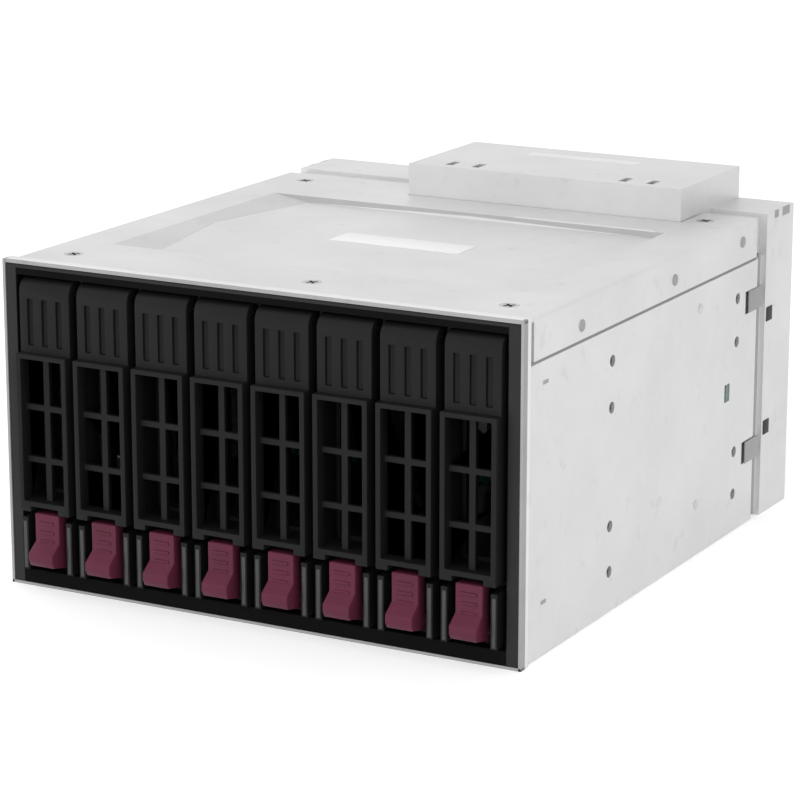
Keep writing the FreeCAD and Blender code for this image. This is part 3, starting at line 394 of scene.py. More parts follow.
class Finishes:
    """Every finish of the cage by its name. A material slot's own finish has the slot's name."""

    def __init__(self) -> None:
        """Build all materials once."""
        recipes = (
            ZincSheet("galvanised_steel"),
            BareSteel("screw_steel", (0.55, 0.55, 0.57)),
            BareSteel("pin_steel", (0.5, 0.5, 0.52), 0.25),
            BareSteel("guard_steel", (0.42, 0.42, 0.44), 0.32),
            MouldedPlastic("bezel_plastic", (0.003, 0.003, 0.0034), 0.62, mirror=0.06),
            MouldedPlastic("carrier_plastic", (0.0068, 0.0068, 0.0075), 0.52, mirror=0.2),
            MouldedPlastic("burgundy_plastic", (0.1, 0.018, 0.038), 0.45, mirror=0.2),
            ClearAcrylic("clear_acrylic"),
            MouldedPlastic("guide_plastic", (0.012, 0.012, 0.013), 0.6),
            SolderMask("circuit_board"),
            MouldedPlastic("connector_plastic", (0.02, 0.02, 0.02), 0.5),
            MouldedPlastic("power_connector_plastic", (0.72, 0.70, 0.62), 0.45),
            MouldedPlastic("fan_plastic", (0.02, 0.02, 0.021), 0.5),
            BlankLabel("label_film"),
            FrostedWindow("frosted_window"),
            # A lighter copy of the bezel plastic: painted highlight on the bezel's columns and
            # brow.
            MouldedPlastic("bezel_painted_highlight", (0.0125, 0.0125, 0.0134), 0.5),
            # Darker zinc of painted shade for the recess slopes that face away from the light.
            ZincSheet("worked_steep", (0.43, 0.43, 0.435), 0.5, 0.4),
            ZincSheet("worked_gentle", (0.62, 0.62, 0.625), 0.45, 0.5),
            # Lighter zinc of painted highlight for the front trim and the cover's lips.
            ZincSheet("painted_highlight_zinc", (0.79, 0.79, 0.79), 0.35, 0.4),
            # Darker zinc of painted reflection for the trim's front edge and foot.
            ZincSheet("painted_reflection_zinc", (0.35, 0.35, 0.355), 0.45, 0.4),
            # Darker zinc of painted shade for the relief notches, snap slots, lock windows and
            # rear step; the rivets use it too.
            ZincSheet("dull_steel_and_painted_shade", (0.36, 0.36, 0.365), 0.5, 0.4),
            ZincSheet("seam_shadow", (0.24, 0.24, 0.243), 0.6, 0.2),
            MouldedPlastic("clip_plastic", (0.03, 0.03, 0.03), 0.6),
            # Near black: painted shade in the screws' cross recesses.
            MouldedPlastic("recess_painted_shade", (0.006, 0.006, 0.006), 0.7),
        )
        self.by_name = {recipe.name: recipe.build() for recipe in recipes}

    def dress(self, node: str, slot: str) -> None:
        """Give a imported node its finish."""
        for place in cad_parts[node].material_slots:
            place.material = self.by_name[slot]


class Workpiece:
    """One new mesh, made with bmesh operators where it stands in the row frame."""

    def __init__(self, name: str) -> None:
        """Start an empty mesh."""
        self.name = name
        self.bm = bmesh.new()

    def copy(self, node: str) -> None:
        """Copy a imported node's mesh in and join the faces that meet."""
        self.bm.from_mesh(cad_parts[node].data)
        bmesh.ops.remove_doubles(self.bm, verts=self.bm.verts, dist=WELD)

    def bevel(self, edges: list[bmesh.types.BMEdge], width: float, segments: int = 2) -> None:
        """Round edges to a width, with this many faces across each."""
        bmesh.ops.bevel(self.bm, geom=edges, offset=width, offset_type="OFFSET",
                        segments=segments, profile=0.5, affect="EDGES", material=-1)

    def block(self, low: Vector, high: Vector, edge: float = 0.0) -> None:
        """Add a box between two corners.

        Args:
            low: The lowest corner.
            high: The highest corner.
            edge: Width of the rounding on its edges, or 0 for sharp ones.
        """
        size = high - low
        place = Matrix.Translation((low + high) / 2) @ Matrix.Diagonal((*size, 1.0))
        made = bmesh.ops.create_cube(self.bm, size=1.0, matrix=place)
        if edge:
            self.bevel(list({e for v in made["verts"] for e in v.link_edges}), edge)

    def pair(self, skin: Span, low: Span, high: Span, edge: float = 0.0) -> None:
        """Add a box and its mirror image on the cage's other side.

        Args:
            skin: Distances of the inner and the outer face from the middle plane.
            low: The lowest Y and Z.
            high: The highest Y and Z.
            edge: Width of the rounding on its edges, or 0 for sharp ones.
        """
        for side in (-1, 1):
            left, right = sorted(side * face for face in skin)
            self.block(Vector((left, *low)), Vector((right, *high)), edge)

    def button(self, centre: Vector, axis: Axis, radius: float, height: float,
               sides: int = 24, edge: float = 0.0) -> None:
        """Add a round button that stands on a point.

        Args:
            centre: The middle of its foot.
            axis: The direction that it points in.
            radius: Its radius.
            height: Its height.
            sides: Flats round it.
            edge: Rounding of its rim, or 0 for a sharp one.
        """
        place = Matrix.Translation(centre) @ axis.value @ Matrix.Translation((0, 0, height / 2))
        made = bmesh.ops.create_cone(self.bm, cap_ends=True, segments=sides, radius1=radius,
                                     radius2=radius, depth=height, matrix=place)
        if edge:
            outward = axis.outward
            top = (centre + outward * height).dot(outward)
            rim = [e for e in {e for v in made["verts"] for e in v.link_edges}
                   if all(abs(v.co.dot(outward) - top) < WELD for v in e.verts)]
            self.bevel(rim, edge, 3)

    def torus(self, centre: Vector, radius: float, wire: float, around: int = 64,
              section: int = 10) -> None:
        """Add a ring of round wire about an axis along Y.

        Args:
            centre: The ring's middle.
            radius: From the middle to the wire's middle.
            wire: The wire's radius.
            around: Steps round the ring.
            section: Sides of the wire.
        """
        start = Matrix.Translation(centre + Vector((radius, 0, 0)))
        made = bmesh.ops.create_circle(self.bm, segments=section, radius=wire, matrix=start)
        edges = list({e for v in made["verts"] for e in v.link_edges})
        bmesh.ops.spin(self.bm, geom=edges + made["verts"], cent=centre, axis=(0, 1, 0),
                       angle=math.tau, steps=around, use_merge=True)

    def rod(self, start: Vector, end: Vector, radius: float, sides: int = 12) -> None:
        """Add a round rod between two points."""
        along = end - start
        turn = along.to_track_quat("Z", "Y").to_matrix().to_4x4()
        place = Matrix.Translation((start + end) / 2) @ turn
        bmesh.ops.create_cone(self.bm, cap_ends=True, segments=sides, radius1=radius,
                              radius2=radius, depth=along.length, matrix=place)

    def finish(self, body: str, slot: str, finishes: Finishes, look: str = "",
               replaces: tuple[str, ...] = ()) -> bpy.types.Object:
        """Turn the mesh into a piece that rides on a body.

        Args:
            body: The body that carries it.
            slot: The record's material slot.
            finishes: The cage's finishes.
            look: Its finish, where that isn't the slot's own.
            replaces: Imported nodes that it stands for.

        Returns:
            The finished piece.
        """
        bmesh.ops.recalc_face_normals(self.bm, faces=self.bm.faces)
        for face in self.bm.faces:
            face.smooth = True
        for edge in self.bm.edges:
            edge.smooth = len(edge.link_faces) == 2 and edge.calc_face_angle() < CREASE
        mesh = bpy.data.meshes.new(self.name)
        self.bm.to_mesh(mesh)
        self.bm.free()
        mesh.materials.append(finishes.by_name[look or slot])
        piece = new_object(self.name, mesh)
        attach(piece, body)
        if replaces:
            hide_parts(*replaces)
        LOG.info("%s: %d faces on %s", self.name, len(mesh.polygons), body)
        return piece


def softened(node: str, radius: float, segments: int = 2, sharp: float = 25.0) -> Workpiece:
    """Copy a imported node's mesh and round its edges as a mould or a press does.

    Args:
        node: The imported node.
        radius: Radius of the rounding.
        segments: Faces across each rounding.
        sharp: Edges that turn by more degrees than this are rounded.

    Returns:
        The rounded copy, ready to finish.
    """
    piece = Workpiece(f"{node}_softened")
    piece.copy(node)
    bm = piece.bm
    bmesh.ops.dissolve_limit(bm, angle_limit=math.radians(1.0), verts=bm.verts, edges=bm.edges)
    bmesh.ops.recalc_face_normals(bm, faces=bm.faces)
    edges = [edge for edge in bm.edges if len(edge.link_faces) == 2
             and edge.calc_face_angle() > math.radians(sharp)]
    piece.bevel(edges, radius, segments)
    return piece


@dataclass
class Bezel:
    """The front frame round the carriers."""

    rounding: float = 0.35 * MM
    column_inset: float = 3.6 * MM
    brow_height: float = 1 * MM
    skin_depth: float = 1.5 * MM
    trim_sheet: float = 0.3 * MM
    trim_setback: float = 0.1 * MM
    trim_overlap: float = 0.1 * MM
    trim_rounding: float = 0.1 * MM
    lip_rise: float = 0.5 * MM
    nose_depth: float = 2 * MM
    rim_overlap: float = 0.45 * MM
    rim_proud: float = 0.12 * MM
    rim_foot: float = 0.75 * MM
    rim_rounding: float = 0.08 * MM

    def build(self, finishes: Finishes) -> None:
        """Replace the frame by a softened one, with painted highlight on its columns and brow."""
        low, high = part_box("front_bezel")
        piece = softened("front_bezel", self.rounding)
        bm = piece.bm
        inner = high.x - self.column_inset
        brow = high.z - self.brow_height
        for place, facing in (((-inner, 0, 0), (1, 0, 0)), ((inner, 0, 0), (1, 0, 0)),
                              ((0, 0, brow), (0, 0, 1))):
            bmesh.ops.bisect_plane(bm, geom=[*bm.verts, *bm.edges, *bm.faces],
                                   plane_co=place, plane_no=facing)
        # Front faces of the columns and the brow take the lighter plastic: painted highlight.
        for face in bm.faces:
            middle = face.calc_center_median()
            lighter = abs(middle.x) > inner or middle.z > brow
            if lighter and middle.y < low.y + self.skin_depth:
                face.material_index = 1
        bezel = piece.finish("cage", "bezel_plastic", finishes, replaces=("front_bezel",))
        bezel.data.materials.append(finishes.by_name["bezel_painted_highlight"])
        self.build_trim(finishes)

    def build_trim(self, finishes: Finishes) -> None:
        """Lay thin sheet round the frame: a band of painted highlight and a darker front edge of
        painted reflection.
        """
        low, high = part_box("front_bezel")
        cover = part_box("top_cover")
        top = cover[1].z + self.lip_rise
        rear = cover[0].y + self.trim_overlap
        front = low.y + self.trim_setback
        edge = front + self.trim_sheet
        nose = front + self.nose_depth
        tip = low.y - self.rim_proud
        outer = high.x + self.trim_sheet
        band = Workpiece("front_trim")
        band.block(Vector((-outer, edge, high.z)), Vector((outer, rear, top)), self.trim_rounding)
        band.pair((high.x, outer), (nose, 0.0), (rear, high.z), self.rim_rounding)
        # The band's lighter zinc is painted highlight.
        band.finish("cage", "galvanised_steel", finishes, "painted_highlight_zinc")
        rim = Workpiece("front_rim")
        rim.block(Vector((-outer, front, high.z)), Vector((outer, edge, top)))
        rim.block(Vector((-outer, tip, 0.0)), Vector((outer, nose, self.rim_foot)),
                  self.rim_rounding)
        rim.pair((high.x - self.rim_overlap, outer), (tip, 0.0), (nose, top), self.rim_rounding)
        # The front edge's darker zinc is painted reflection, the tone of what the edge reflects.
        rim.finish("cage", "galvanised_steel", finishes, "painted_reflection_zinc")


@dataclass
class Carrier:
    """One drive carrier: tray, lever, latch, light pipes and hardware."""

    number: int
    lever_rounding: float = 0.22 * MM
    latch_rounding: float = 0.35 * MM
    grip_ribs: int = 3
    grip_pitch: float = 2.4 * MM
    grip_drop: float = 2.4 * MM
    grip_width: float = 4.4 * MM
    grip_half: float = 0.4 * MM
    grip_height: float = 0.35 * MM
    grip_root: float = 0.5 * MM
    grip_rounding: float = 0.15 * MM
    latch_proud: float = 0.1 * MM
    foot_root: float = 0.4 * MM
    foot_reach: float = 9 * MM
    foot_lift: float = 1.7 * MM
    window_inset: float = 0.35 * MM
    window_width: float = 1 * MM
    window_foot: float = 0.4 * MM
    window_height: float = 12.4 * MM
    window_proud: float = 0.12 * MM
    window_root: float = 0.4 * MM
    window_rounding: float = 0.1 * MM

    def node(self, kind: str) -> str:
        """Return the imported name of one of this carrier's nodes."""
        return f"carrier_{self.number}_{kind}"

    def build(self, finishes: Finishes) -> None:
        """Dress this carrier's nodes and soften its lever and latch."""
        finishes.dress(self.node("tray"), "carrier_plastic")
        finishes.dress(self.node("light_pipes"), "clear_acrylic")
        finishes.dress(self.node("hardware"), "pin_steel")
        softened(self.node("lever"), self.lever_rounding).finish(
            f"lever_{self.number}", "carrier_plastic", finishes, replaces=(self.node("lever"),))
        self.build_latch(finishes)
        self.build_window(finishes)

    def build_latch(self, finishes: Finishes) -> None:
        """Soften the latch, raise its foot and add the grip ribs across its button."""
        piece = softened(self.node("latch"), self.latch_rounding, segments=3)
        low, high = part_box(self.node("latch"))
        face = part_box(self.node("tray"))[0].y - self.latch_proud
        foot = [vert for vert in piece.bm.verts
                if vert.co.y < face + self.foot_root and vert.co.z < low.z + self.foot_reach]
        bmesh.ops.translate(piece.bm, verts=foot, vec=(0.0, 0.0, self.foot_lift))
        middle = (low.x + high.x) / 2
        half = self.grip_width / 2
        for rib in range(self.grip_ribs):
            height = high.z - self.grip_drop - rib * self.grip_pitch
            piece.block(Vector((middle - half, face - self.grip_height, height - self.grip_half)),
                        Vector((middle + half, face + self.grip_root, height + self.grip_half)),
                        self.grip_rounding)
        piece.finish(f"latch_{self.number}", "burgundy_plastic", finishes,
                     replaces=(self.node("latch"),))

    def build_window(self, finishes: Finishes) -> None:
        """Set a frosted window over each light pipe, up the feet of both posts."""
        low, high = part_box(self.node("tray"))
        foot = low.z + self.window_foot
        piece = Workpiece(self.node("light_windows"))
        for left in (low.x + self.window_inset, high.x - self.window_inset - self.window_width):
            piece.block(Vector((left, low.y - self.window_proud, foot)),
                        Vector((left + self.window_width, low.y + self.window_root,
                                foot + self.window_height)), self.window_rounding)
        piece.finish(f"carrier_{self.number}", "clear_acrylic", finishes, "frosted_window")


@dataclass
class Screws:
    """Screws of one node, with a black cross on each head as painted shade for its recess.

    Their rim, seat, arm and bar are shares of the head's size.
    """

    node: str
    axis: Axis
    head_radius: float
    head_height: float
    shank_radius: float
    rim: float = 0.3
    seat: float = 0.8
    arm: float = 0.6
    bar: float = 0.13
    bar_depth: float = 0.06 * MM
    bar_lift: float = 0.02 * MM

    def centres(self) -> list[Vector]:
        """Return the middle of each screw's head, on its outer face.

        Returns:
            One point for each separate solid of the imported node.
        """
        plain = Workpiece(self.node)
        plain.copy(self.node)
        outward = self.axis.outward
        top = max(vert.co.dot(outward) for vert in plain.bm.verts)
        points = [vert.co.copy() for vert in plain.bm.verts
                  if abs(vert.co.dot(outward) - top) < WELD]
        plain.bm.free()
        groups: list[list[Vector]] = []
        for point in points:
            near = [g for g in groups if (g[0] - point).length < 3 * self.head_radius]
            if near:
                near[0].append(point)
            else:
                groups.append([point])
        return [sum(group, Vector()) / len(group) for group in groups]

    def build(self, finishes: Finishes) -> None:
        """Replace the plain screws by new ones, with a black cross laid on each head as painted
        shade.
        """
        outward = self.axis.outward
        depth = abs((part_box(self.node)[1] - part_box(self.node)[0]).dot(outward))
        piece = Workpiece(f"{self.node}_heads")
        recess_shade = Workpiece(f"{self.node}_recess")
        for centre in self.centres():
            foot = centre - outward * self.head_height
            piece.button(foot, self.axis, self.head_radius, self.head_height, 32,
                         edge=self.head_height * self.rim)
            piece.button(centre - outward * depth, self.axis, self.shank_radius,
                         depth - self.head_height * self.seat)
            self.cross(recess_shade, centre + outward * self.bar_lift)
        piece.finish("cage", "screw_steel", finishes, replaces=(self.node,))
        # A black cross on each head: painted shade in the recess.
        recess_shade.finish("cage", "screw_steel", finishes, "recess_painted_shade")

    def cross(self, piece: Workpiece, centre: Vector) -> None:
        """Lay the two black bars of a cross, painted shade for the recess, over a point."""
        size = Matrix.Diagonal((2 * self.arm * self.head_radius, 2 * self.bar * self.head_radius,
                                self.bar_depth, 1.0))
        for turn in (45.0, 135.0):
            place = (Matrix.Translation(centre) @ self.axis.value
                     @ Matrix.Rotation(math.radians(turn), 4, "Z") @ size)
            bmesh.ops.create_cube(piece.bm, size=1.0, matrix=place)


@dataclass(frozen=True)
class Patch:
    """Equal marks on both side walls. Root and proud are their parts inside and outside it."""

    name: str
    slot: str
    look: str
    place: float
    heights: Span
    half: Span
    root: float
    proud: float
    rounding: float = 0.0


@dataclass
class Shell:
    """Sheet metal of the cage: shell, top cover and rear housing, with their trim.

    Each place is a depth behind the bezel's front. A relief has its start, its end and its drop.
    """

    label_left: float = -17 * MM
    label_width: float = 38 * MM
    label_place: float = 67 * MM
    label_depth: float = 10.5 * MM
    label_sunk: float = 1.3 * MM
    label_film: float = 0.12 * MM
    label_rounding: float = 0.04 * MM
    # Slopes of the recess that get painted shade, with the way each faces.
    slopes: tuple[tuple[str, Point], ...] = (
        ("steep", (0.0, -0.63, 0.78)), ("gentle", (0.11, 0.0, 0.99)))
    slope_slack: float = 0.06
    slope_area: float = 10 * MM * MM
    slope_floor: float = 0.5 * MM
    slope_lift: float = 0.03 * MM
    slope_skin: float = 0.02 * MM
    # Strips of painted highlight: the lip behind the recess and a pale strip on the hump.
    lips: tuple[tuple[str, float, float, Point], ...] = (
        ("top_cover", 15 * MM, 111.1 * MM, (41 * MM, 1.6 * MM, 0.2 * MM)),
        ("rear_housing", -3 * MM, 155 * MM, (34 * MM, 4 * MM, 0.2 * MM)))
    lip_root: float = 0.1 * MM
    lip_rounding: float = 0.08 * MM
    rivet_radius: float = 1.5 * MM
    rivet_proud: float = 0.25 * MM
    rivet_rounding: float = 0.12 * MM
    rivet_place: tuple[float, ...] = (31.5 * MM, 86.5 * MM, 131 * MM)
    rivet_drop: tuple[float, ...] = (7 * MM, 6.4 * MM, 4.6 * MM)
    dimple_radius: float = 1.3 * MM
    dimple_proud: float = 0.2 * MM
    dimple_rounding: float = 0.1 * MM
    dimple_place: float = 103.5 * MM
    dimple_height: Span = (14.5 * MM, 67.5 * MM)
    relief_marks: tuple[Point, ...] = (
        (159 * MM, 164 * MM, 2.3 * MM), (153.3 * MM, 156 * MM, 2 * MM))
    relief_root: float = 0.219 * MM
    relief_proud: float = 0.05 * MM
    relief_rise: float = 0.03 * MM
    seam_height: float = 74.2 * MM
    seam_width: float = 0.55 * MM
    seam_root: float = 0.4 * MM
    seam_proud: float = 0.04 * MM
    step_in: float = 1.9 * MM
    step_depth: Span = (2.6 * MM, 4.2 * MM)
    step_foot: float = 1 * MM
    patches: tuple[Patch, ...] = (
        Patch("housing_clips", "connector_plastic", "clip_plastic", 151.1 * MM,
              (24.7 * MM, 56.7 * MM), (2 * MM, 2 * MM), 0.2 * MM, 0.2 * MM, 0.15 * MM),
        Patch("snap_plates", "galvanised_steel", "galvanised_steel", 12 * MM,
              (14 * MM, 68.2 * MM), (1.7 * MM, 2.25 * MM), 0.3 * MM, 0.02 * MM),
        # Dark patches of painted shade in the snap slots and the lock windows.
        Patch("snap_slot_shade", "galvanised_steel", "dull_steel_and_painted_shade", 12 * MM,
              (14 * MM, 68.2 * MM), (1.4 * MM, 0.5 * MM), 0.3 * MM, 0.05 * MM),
        Patch("lock_window_shade", "galvanised_steel", "dull_steel_and_painted_shade", 141 * MM,
              (20.6 * MM, 62.7 * MM), (4.6 * MM, 3 * MM), 0.3 * MM, 0.15 * MM, 0.12 * MM))

    @property
    def front(self) -> float:
        """Return Y of the bezel's front."""
        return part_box("front_bezel")[0].y

    def build(self, finishes: Finishes) -> None:
        """Dress the sheets, then add what is pressed, cut or set into them, and their painted
        shade and highlights.
        """
        for node in ("chassis_shell", "top_cover", "rear_housing"):
            finishes.dress(node, "galvanised_steel")
        self.build_label(finishes)
        for kind, facing in self.slopes:
            self.build_painted_shade_slope(kind, Vector(facing), finishes)
        self.build_highlights(finishes)
        self.build_side_marks(finishes)
        self.build_seams(finishes)
        self.build_patches(finishes)

    def build_label(self, finishes: Finishes) -> None:
        """Lay the blank label in the cover's stamped recess."""
        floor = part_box("top_cover")[1].z - self.label_sunk
        corner = Vector((self.label_left, self.front + self.label_place, floor))
        piece = Workpiece("cover_label")
        piece.block(corner, corner + Vector((self.label_width, self.label_depth,
                                             self.label_film)), self.label_rounding)
        piece.finish("cage", "galvanised_steel", finishes, "label_film")

    def build_painted_shade_slope(self, kind: str, facing: Vector, finishes: Finishes) -> None:
        """Skin one of the recess's slopes with darker zinc: painted shade where the slope faces
        away from the light.

        Args:
            kind: The slope's name.
            facing: The direction that it faces.
            finishes: The cage's finishes.
        """
        piece = Workpiece(f"recess_slope_{kind}")
        piece.copy("top_cover")
        bm = piece.bm
        bmesh.ops.recalc_face_normals(bm, faces=bm.faces)
        others = [face for face in bm.faces if face.calc_area() < self.slope_area
                  or (face.normal - facing).length > self.slope_slack]
        bmesh.ops.delete(bm, geom=others, context="FACES")
        floor = min(vert.co.z for vert in bm.verts) + self.slope_floor
        stray = [face for face in bm.faces if face.calc_center_median().z < floor]
        bmesh.ops.delete(bm, geom=stray, context="FACES")
        bmesh.ops.translate(bm, verts=bm.verts, vec=facing * self.slope_lift)
        bmesh.ops.solidify(bm, geom=bm.faces[:], thickness=self.slope_skin)
        # The skin's darker zinc is painted shade.
        piece.finish("cage", "galvanised_steel", finishes, f"worked_{kind}")

    def build_highlights(self, finishes: Finishes) -> None:
        """Lay painted highlight along the lip behind the recess, and a pale strip on the hump's
        top.
        """
        piece = Workpiece("painted_highlight_strips")
        for node, left, place, size in self.lips:
            corner = Vector((left, self.front + place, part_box(node)[1].z - self.lip_root))
            piece.block(corner, corner + Vector(size), self.lip_rounding)
        piece.finish("cage", "galvanised_steel", finishes, "painted_highlight_zinc")

    def build_side_marks(self, finishes: Finishes) -> None:
        """Add the rivets of the cover's flanges and the shell's pressed dimples."""
        low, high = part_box("chassis_shell")
        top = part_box("top_cover")[1].z
        rivets = Workpiece("flange_rivets")
        dimples = Workpiece("shell_dimples")
        for side, axis in ((high.x, Axis.RIGHT), (low.x, Axis.LEFT)):
            for place, drop in zip(self.rivet_place, self.rivet_drop):
                rivets.button(Vector((side, self.front + place, top - drop)), axis,
                              self.rivet_radius, self.rivet_proud, edge=self.rivet_rounding)
            for height in self.dimple_height:
                dimples.button(Vector((side, self.front + self.dimple_place, height)), axis,
                               self.dimple_radius, self.dimple_proud, edge=self.dimple_rounding)
        rivets.finish("cage", "screw_steel", finishes, "dull_steel_and_painted_shade")
        dimples.finish("cage", "screw_steel", finishes)

    def build_seams(self, finishes: Finishes) -> None:
        """Lay dark strips of painted shade along the joints under the cover's flanges, down the
        rear step and at its corners.
        """
        low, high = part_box("chassis_shell")
        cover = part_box("top_cover")
        wall, seam = high.x, self.seam_height
        seams = Workpiece("joint_shade_lines")
        seams.pair((wall - self.seam_root, wall + self.seam_proud),
                   (cover[0].y, seam - self.seam_width), (cover[1].y, seam))
        seams.finish("cage", "galvanised_steel", finishes, "seam_shadow")
        # The darker strip in the rear step is painted shade.
        steps = Workpiece("step_shade_lines")
        steps.pair((wall - self.step_in, wall - self.step_in / 2),
                   (high.y + self.step_depth[0], low.z + self.step_foot),
                   (high.y + self.step_depth[1], seam))
        steps.finish("cage", "galvanised_steel", finishes, "dull_steel_and_painted_shade")
        # Dark patches in the relief notches are painted shade.
        reliefs = Workpiece("relief_notch_shade")
        for start, end, drop in self.relief_marks:
            reliefs.pair((wall - self.relief_root, wall + self.relief_proud),
                         (self.front + start, cover[1].z - drop),
                         (self.front + end, cover[1].z + self.relief_rise))
        reliefs.finish("cage", "galvanised_steel", finishes, "dull_steel_and_painted_shade")

    def build_patches(self, finishes: Finishes) -> None:
        """Set the snap clips and the snap windows' plates into the sides, with painted shade in
        the snap slots and the lock windows.
        """
        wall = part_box("chassis_shell")[1].x
        for patch in self.patches:
            piece = Workpiece(patch.name)
            depth = self.front + patch.place
            wide, tall = patch.half
            for height in patch.heights:
                piece.pair((wall - patch.root, wall + patch.proud), (depth - wide, height - tall),
                           (depth + wide, height + tall), patch.rounding)
            piece.finish("cage", patch.slot, finishes, patch.look)


@dataclass
class Backplane:
    """Bay guides, circuit board and its sockets, with what is soldered to the board's back."""

    socket_bays: int = 2
    chip_rows: int = 4
    chip_low: float = 30 * MM
    chip_pitch: float = 9.5 * MM
    chip_half: Span = (2.4 * MM, 1.6 * MM)
    chip_size: Span = (1 * MM, 3 * MM)
    sockets: int = 2
    pins: int = 4
    pin_low: float = 4 * MM
    pin_pitch: float = 14 * MM
    pin_half: Span = (0.8 * MM, 0.4 * MM)
    tongue_low: float = 4.5 * MM
    tongue_pitch: float = 15 * MM
    tongue_inset: float = 3 * MM
    tongue_half: float = 0.6 * MM
    contact_root: float = 8 * MM
    contact_tip: float = 1.5 * MM
    rounding: float = 0.15 * MM

    def build(self, finishes: Finishes) -> None:
        """Dress the inner nodes and add the board's components and the sockets' pins."""
        for node, slot in (("lower_bay_guide", "guide_plastic"),
                           ("upper_bay_guide", "guide_plastic"),
                           ("backplane_board", "circuit_board"),
                           ("drive_connectors", "connector_plastic"),
                           ("data_connectors", "connector_plastic"),
                           ("power_connectors", "power_connector_plastic")):
            finishes.dress(node, slot)
        self.build_chips(finishes)
        self.build_pins(finishes)

    def build_chips(self, finishes: Finishes) -> None:
        """Set small packages on the board's back, between its air slots."""
        low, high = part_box("backplane_board")
        depth, tall = self.chip_size
        pitch = (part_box("carrier_2_tray")[0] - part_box("carrier_1_tray")[0]).x
        piece = Workpiece("board_chips")
        for bay in range(self.socket_bays, BAYS):
            middle = (bay - (BAYS - 1) / 2) * pitch
            for row in range(self.chip_rows):
                height = low.z + self.chip_low + row * self.chip_pitch
                half = self.chip_half[(bay + row) % 2]
                piece.block(Vector((middle - half, high.y, height)),
                            Vector((middle + half, high.y + depth, height + tall)),
                            self.rounding)
        piece.finish("cage", "connector_plastic", finishes)

    def build_pins(self, finishes: Finishes) -> None:
        """Stand contact pins in the power sockets and a tongue in each data socket."""
        pins = Workpiece("power_pins")
        low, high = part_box("power_connectors")
        half, thin = self.pin_half
        for socket in range(self.sockets):
            height = low.z + self.pin_low + socket * self.pin_pitch
            for pin in range(self.pins):
                middle = low.x + (high.x - low.x) * (pin + 0.5) / self.pins
                pins.block(Vector((middle - half, high.y - self.contact_root, height - thin)),
                           Vector((middle + half, high.y - self.contact_tip, height + thin)),
                           self.rounding)
        pins.finish("cage", "pin_steel", finishes)
        tongues = Workpiece("data_tongues")
        low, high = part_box("data_connectors")
        for socket in range(self.sockets):
            height = low.z + self.tongue_low + socket * self.tongue_pitch
            tongues.block(Vector((low.x + self.tongue_inset, high.y - self.contact_root,
                                  height - self.tongue_half)),
                          Vector((high.x - self.tongue_inset, high.y - self.contact_tip,
                                  height + self.tongue_half)), self.rounding)
        tongues.finish("cage", "circuit_board", finishes)


@dataclass
class Fan:
    """Rear fan with its guard of round wire."""

    wire: float = 0.5 * MM
    rings: int = 4
    first: float = 10 * MM
    step: float = 8 * MM
    arm_inset: float = 4 * MM
    eye_radius: float = 3.2 * MM
    eye_steps: int = 32

    def build(self, finishes: Finishes) -> None:
        """Dress the fan and replace its flat guard by bent wire."""
        finishes.dress("fan_frame", "fan_plastic")
        finishes.dress("fan_rotor", "fan_plastic")
        low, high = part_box("finger_guard")
        centre = (low + high) / 2
        piece = Workpiece("wire_guard")
        for ring in range(self.rings):
            piece.torus(centre, self.first + ring * self.step - self.wire, self.wire)
        reach = (high.x - low.x) / 2 - self.arm_inset
        for side in (-1, 1):
            tip = Vector((reach, 0, reach * side))
            piece.rod(centre - tip, centre + tip, self.wire)
            for end in (-1, 1):
                piece.torus(centre + tip * end, self.eye_radius, self.wire, self.eye_steps)
        piece.finish("cage", "guard_steel", finishes, replaces=("finger_guard",))


def seen_rays(tree: Tree) -> Socket:
    """Return 1 for rays of the camera, of reflections and through clear plastic, and else 0."""
    rays = add_node(tree, "LightPath", {}).outputs
    seen = rays["Is Camera Ray"]
    for kind in ("Is Glossy Ray", "Is Transmission Ray"):
        seen = add_node(tree, "Math", {0: seen, 1: rays[kind]},
                        operation="MAXIMUM").outputs["Value"]
    return seen


@dataclass(frozen=True)
class Lamp:
    """A square soft lamp that stands off from the cage's middle."""

    name: str
    offset: Point
    size: float
    power: float


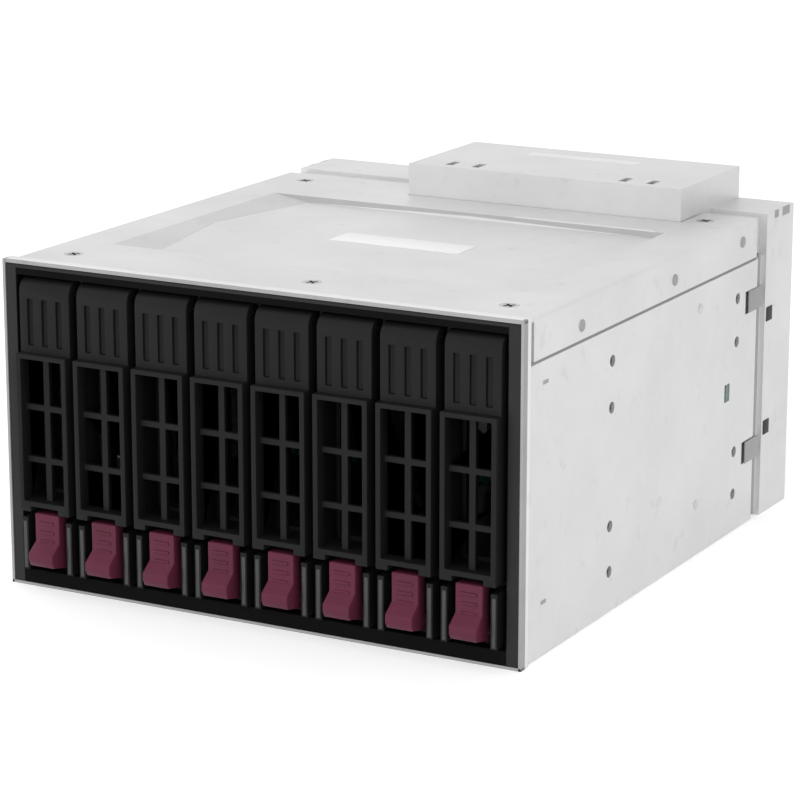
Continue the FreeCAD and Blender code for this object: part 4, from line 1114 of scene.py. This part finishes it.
@dataclass
class Studio:
    """Pale floor, soft light and the camera."""

    lens: float = 141.06
    azimuth: float = 28.587
    elevation: float = 14.476
    distance: float = 833.4 * MM
    aim: Point = (-2.2 * MM, -3.2 * MM, -7.4 * MM)
    sensor: float = 36.0
    nearest: float = 10 * MM
    wall_light: float = 1.05
    wall_rise: float = 0.15
    ceiling_light: float = 0.6
    ceiling_rise: float = 0.6
    floor_size: float = 20.0
    floor_colour: Colour = (0.8, 0.8, 0.8)
    floor_roughness: float = 0.9
    floor_glow: float = 0.4
    lamps: tuple[Lamp, ...] = (Lamp("key_lamp", (-1.0, 0.1, 0.5), 1.2, 4.0),
                               Lamp("fill_lamp", (0.3, -1.0, 0.45), 1.5, 9.5))

    def build(self) -> None:
        """Make the floor, the light and the camera."""
        self.build_floor()
        self.build_world()
        self.build_lamps()
        self.build_camera()

    def build_floor(self) -> None:
        """Lay a large pale floor that keeps the cage's shadow and shows white behind it."""
        bm = bmesh.new()
        bmesh.ops.create_grid(bm, x_segments=1, y_segments=1, size=self.floor_size)
        mesh = bpy.data.meshes.new("floor")
        bm.to_mesh(mesh)
        bm.free()
        shader = Shader("pale_floor", self.floor_colour, self.floor_roughness)
        glow = add_node(shader.tree, "Math", {0: seen_rays(shader.tree), 1: self.floor_glow},
                        operation="MULTIPLY")
        shader.set("Emission Color", (1.0, 1.0, 1.0, 1.0))
        shader.set("Emission Strength", glow.outputs["Value"])
        mesh.materials.append(shader.material)
        new_object("floor", mesh)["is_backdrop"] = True

    def build_world(self) -> None:
        """Light the room softly, paler at its walls, and show it white where it is seen."""
        world = bpy.data.worlds.new("studio")
        bpy.context.scene.world = world
        world.use_nodes = True
        tree = world.node_tree
        heading = add_node(tree, "TexCoord", {}).outputs["Generated"]
        rise = add_node(tree, "SeparateXYZ", {"Vector": heading}).outputs["Z"]
        dome = add_node(tree, "MapRange", {
            "From Min": self.wall_rise, "From Max": self.ceiling_rise, "Value": rise,
            "To Min": self.wall_light, "To Max": self.ceiling_light},
            interpolation_type="SMOOTHSTEP")
        level = add_node(tree, "Mix", {0: seen_rays(tree), 2: dome.outputs["Result"], 3: 1.0})
        background = tree.nodes["Background"].inputs
        connect(tree, background["Color"], (1.0, 1.0, 1.0, 1.0))
        connect(tree, background["Strength"], level.outputs[0])

    def build_lamps(self) -> None:
        """Stand a large soft lamp on the left and another at the front."""
        low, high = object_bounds()
        for lamp in self.lamps:
            offset = Vector(lamp.offset)
            data = bpy.data.lights.new(lamp.name, "AREA")
            data.size = lamp.size
            data.energy = lamp.power
            holder = new_object(lamp.name, data)
            holder.location = (low + high) / 2 + offset
            holder.rotation_euler = (-offset).to_track_quat("-Z", "Y").to_euler()
            holder.visible_glossy = False

    def build_camera(self) -> None:
        """Stand the camera where it looks at the cage's front right corner."""
        low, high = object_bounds()
        data = bpy.data.cameras.new("camera")
        data.lens = self.lens
        data.sensor_width = self.sensor
        data.clip_start = self.nearest
        camera = new_object("camera", data)
        turn, rise = math.radians(self.azimuth), math.radians(self.elevation)
        back = Vector((math.sin(turn) * math.cos(rise), -math.cos(turn) * math.cos(rise),
                       math.sin(rise)))
        camera.location = (low + high) / 2 + Vector(self.aim) + back * self.distance
        camera.rotation_euler = (-back).to_track_quat("-Z", "Y").to_euler()
        bpy.context.scene.camera = camera
        bpy.context.scene.view_settings.view_transform = "Standard"


def main() -> None:
    """Build every sub-assembly in order."""
    logging.basicConfig(level=logging.INFO, format="%(name)s: %(message)s")
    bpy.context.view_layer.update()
    finishes = Finishes()
    Studio().build()
    Bezel().build(finishes)
    for number in range(1, BAYS + 1):
        Carrier(number).build(finishes)
    Shell().build(finishes)
    Screws("cover_screws", Axis.UP, head_radius=2.45 * MM, head_height=0.5 * MM,
           shank_radius=1.15 * MM).build(finishes)
    Screws("fan_screws", Axis.BACK, head_radius=3.3 * MM, head_height=1.2 * MM,
           shank_radius=1.85 * MM).build(finishes)
    Backplane().build(finishes)
    Fan().build(finishes)


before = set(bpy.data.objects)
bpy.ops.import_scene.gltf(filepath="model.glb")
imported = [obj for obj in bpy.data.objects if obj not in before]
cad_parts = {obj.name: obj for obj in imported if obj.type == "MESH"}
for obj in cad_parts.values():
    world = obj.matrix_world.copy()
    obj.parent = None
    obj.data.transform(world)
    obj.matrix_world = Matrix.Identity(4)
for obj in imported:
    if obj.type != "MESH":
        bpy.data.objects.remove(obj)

if __name__ == "__main__":
    main()
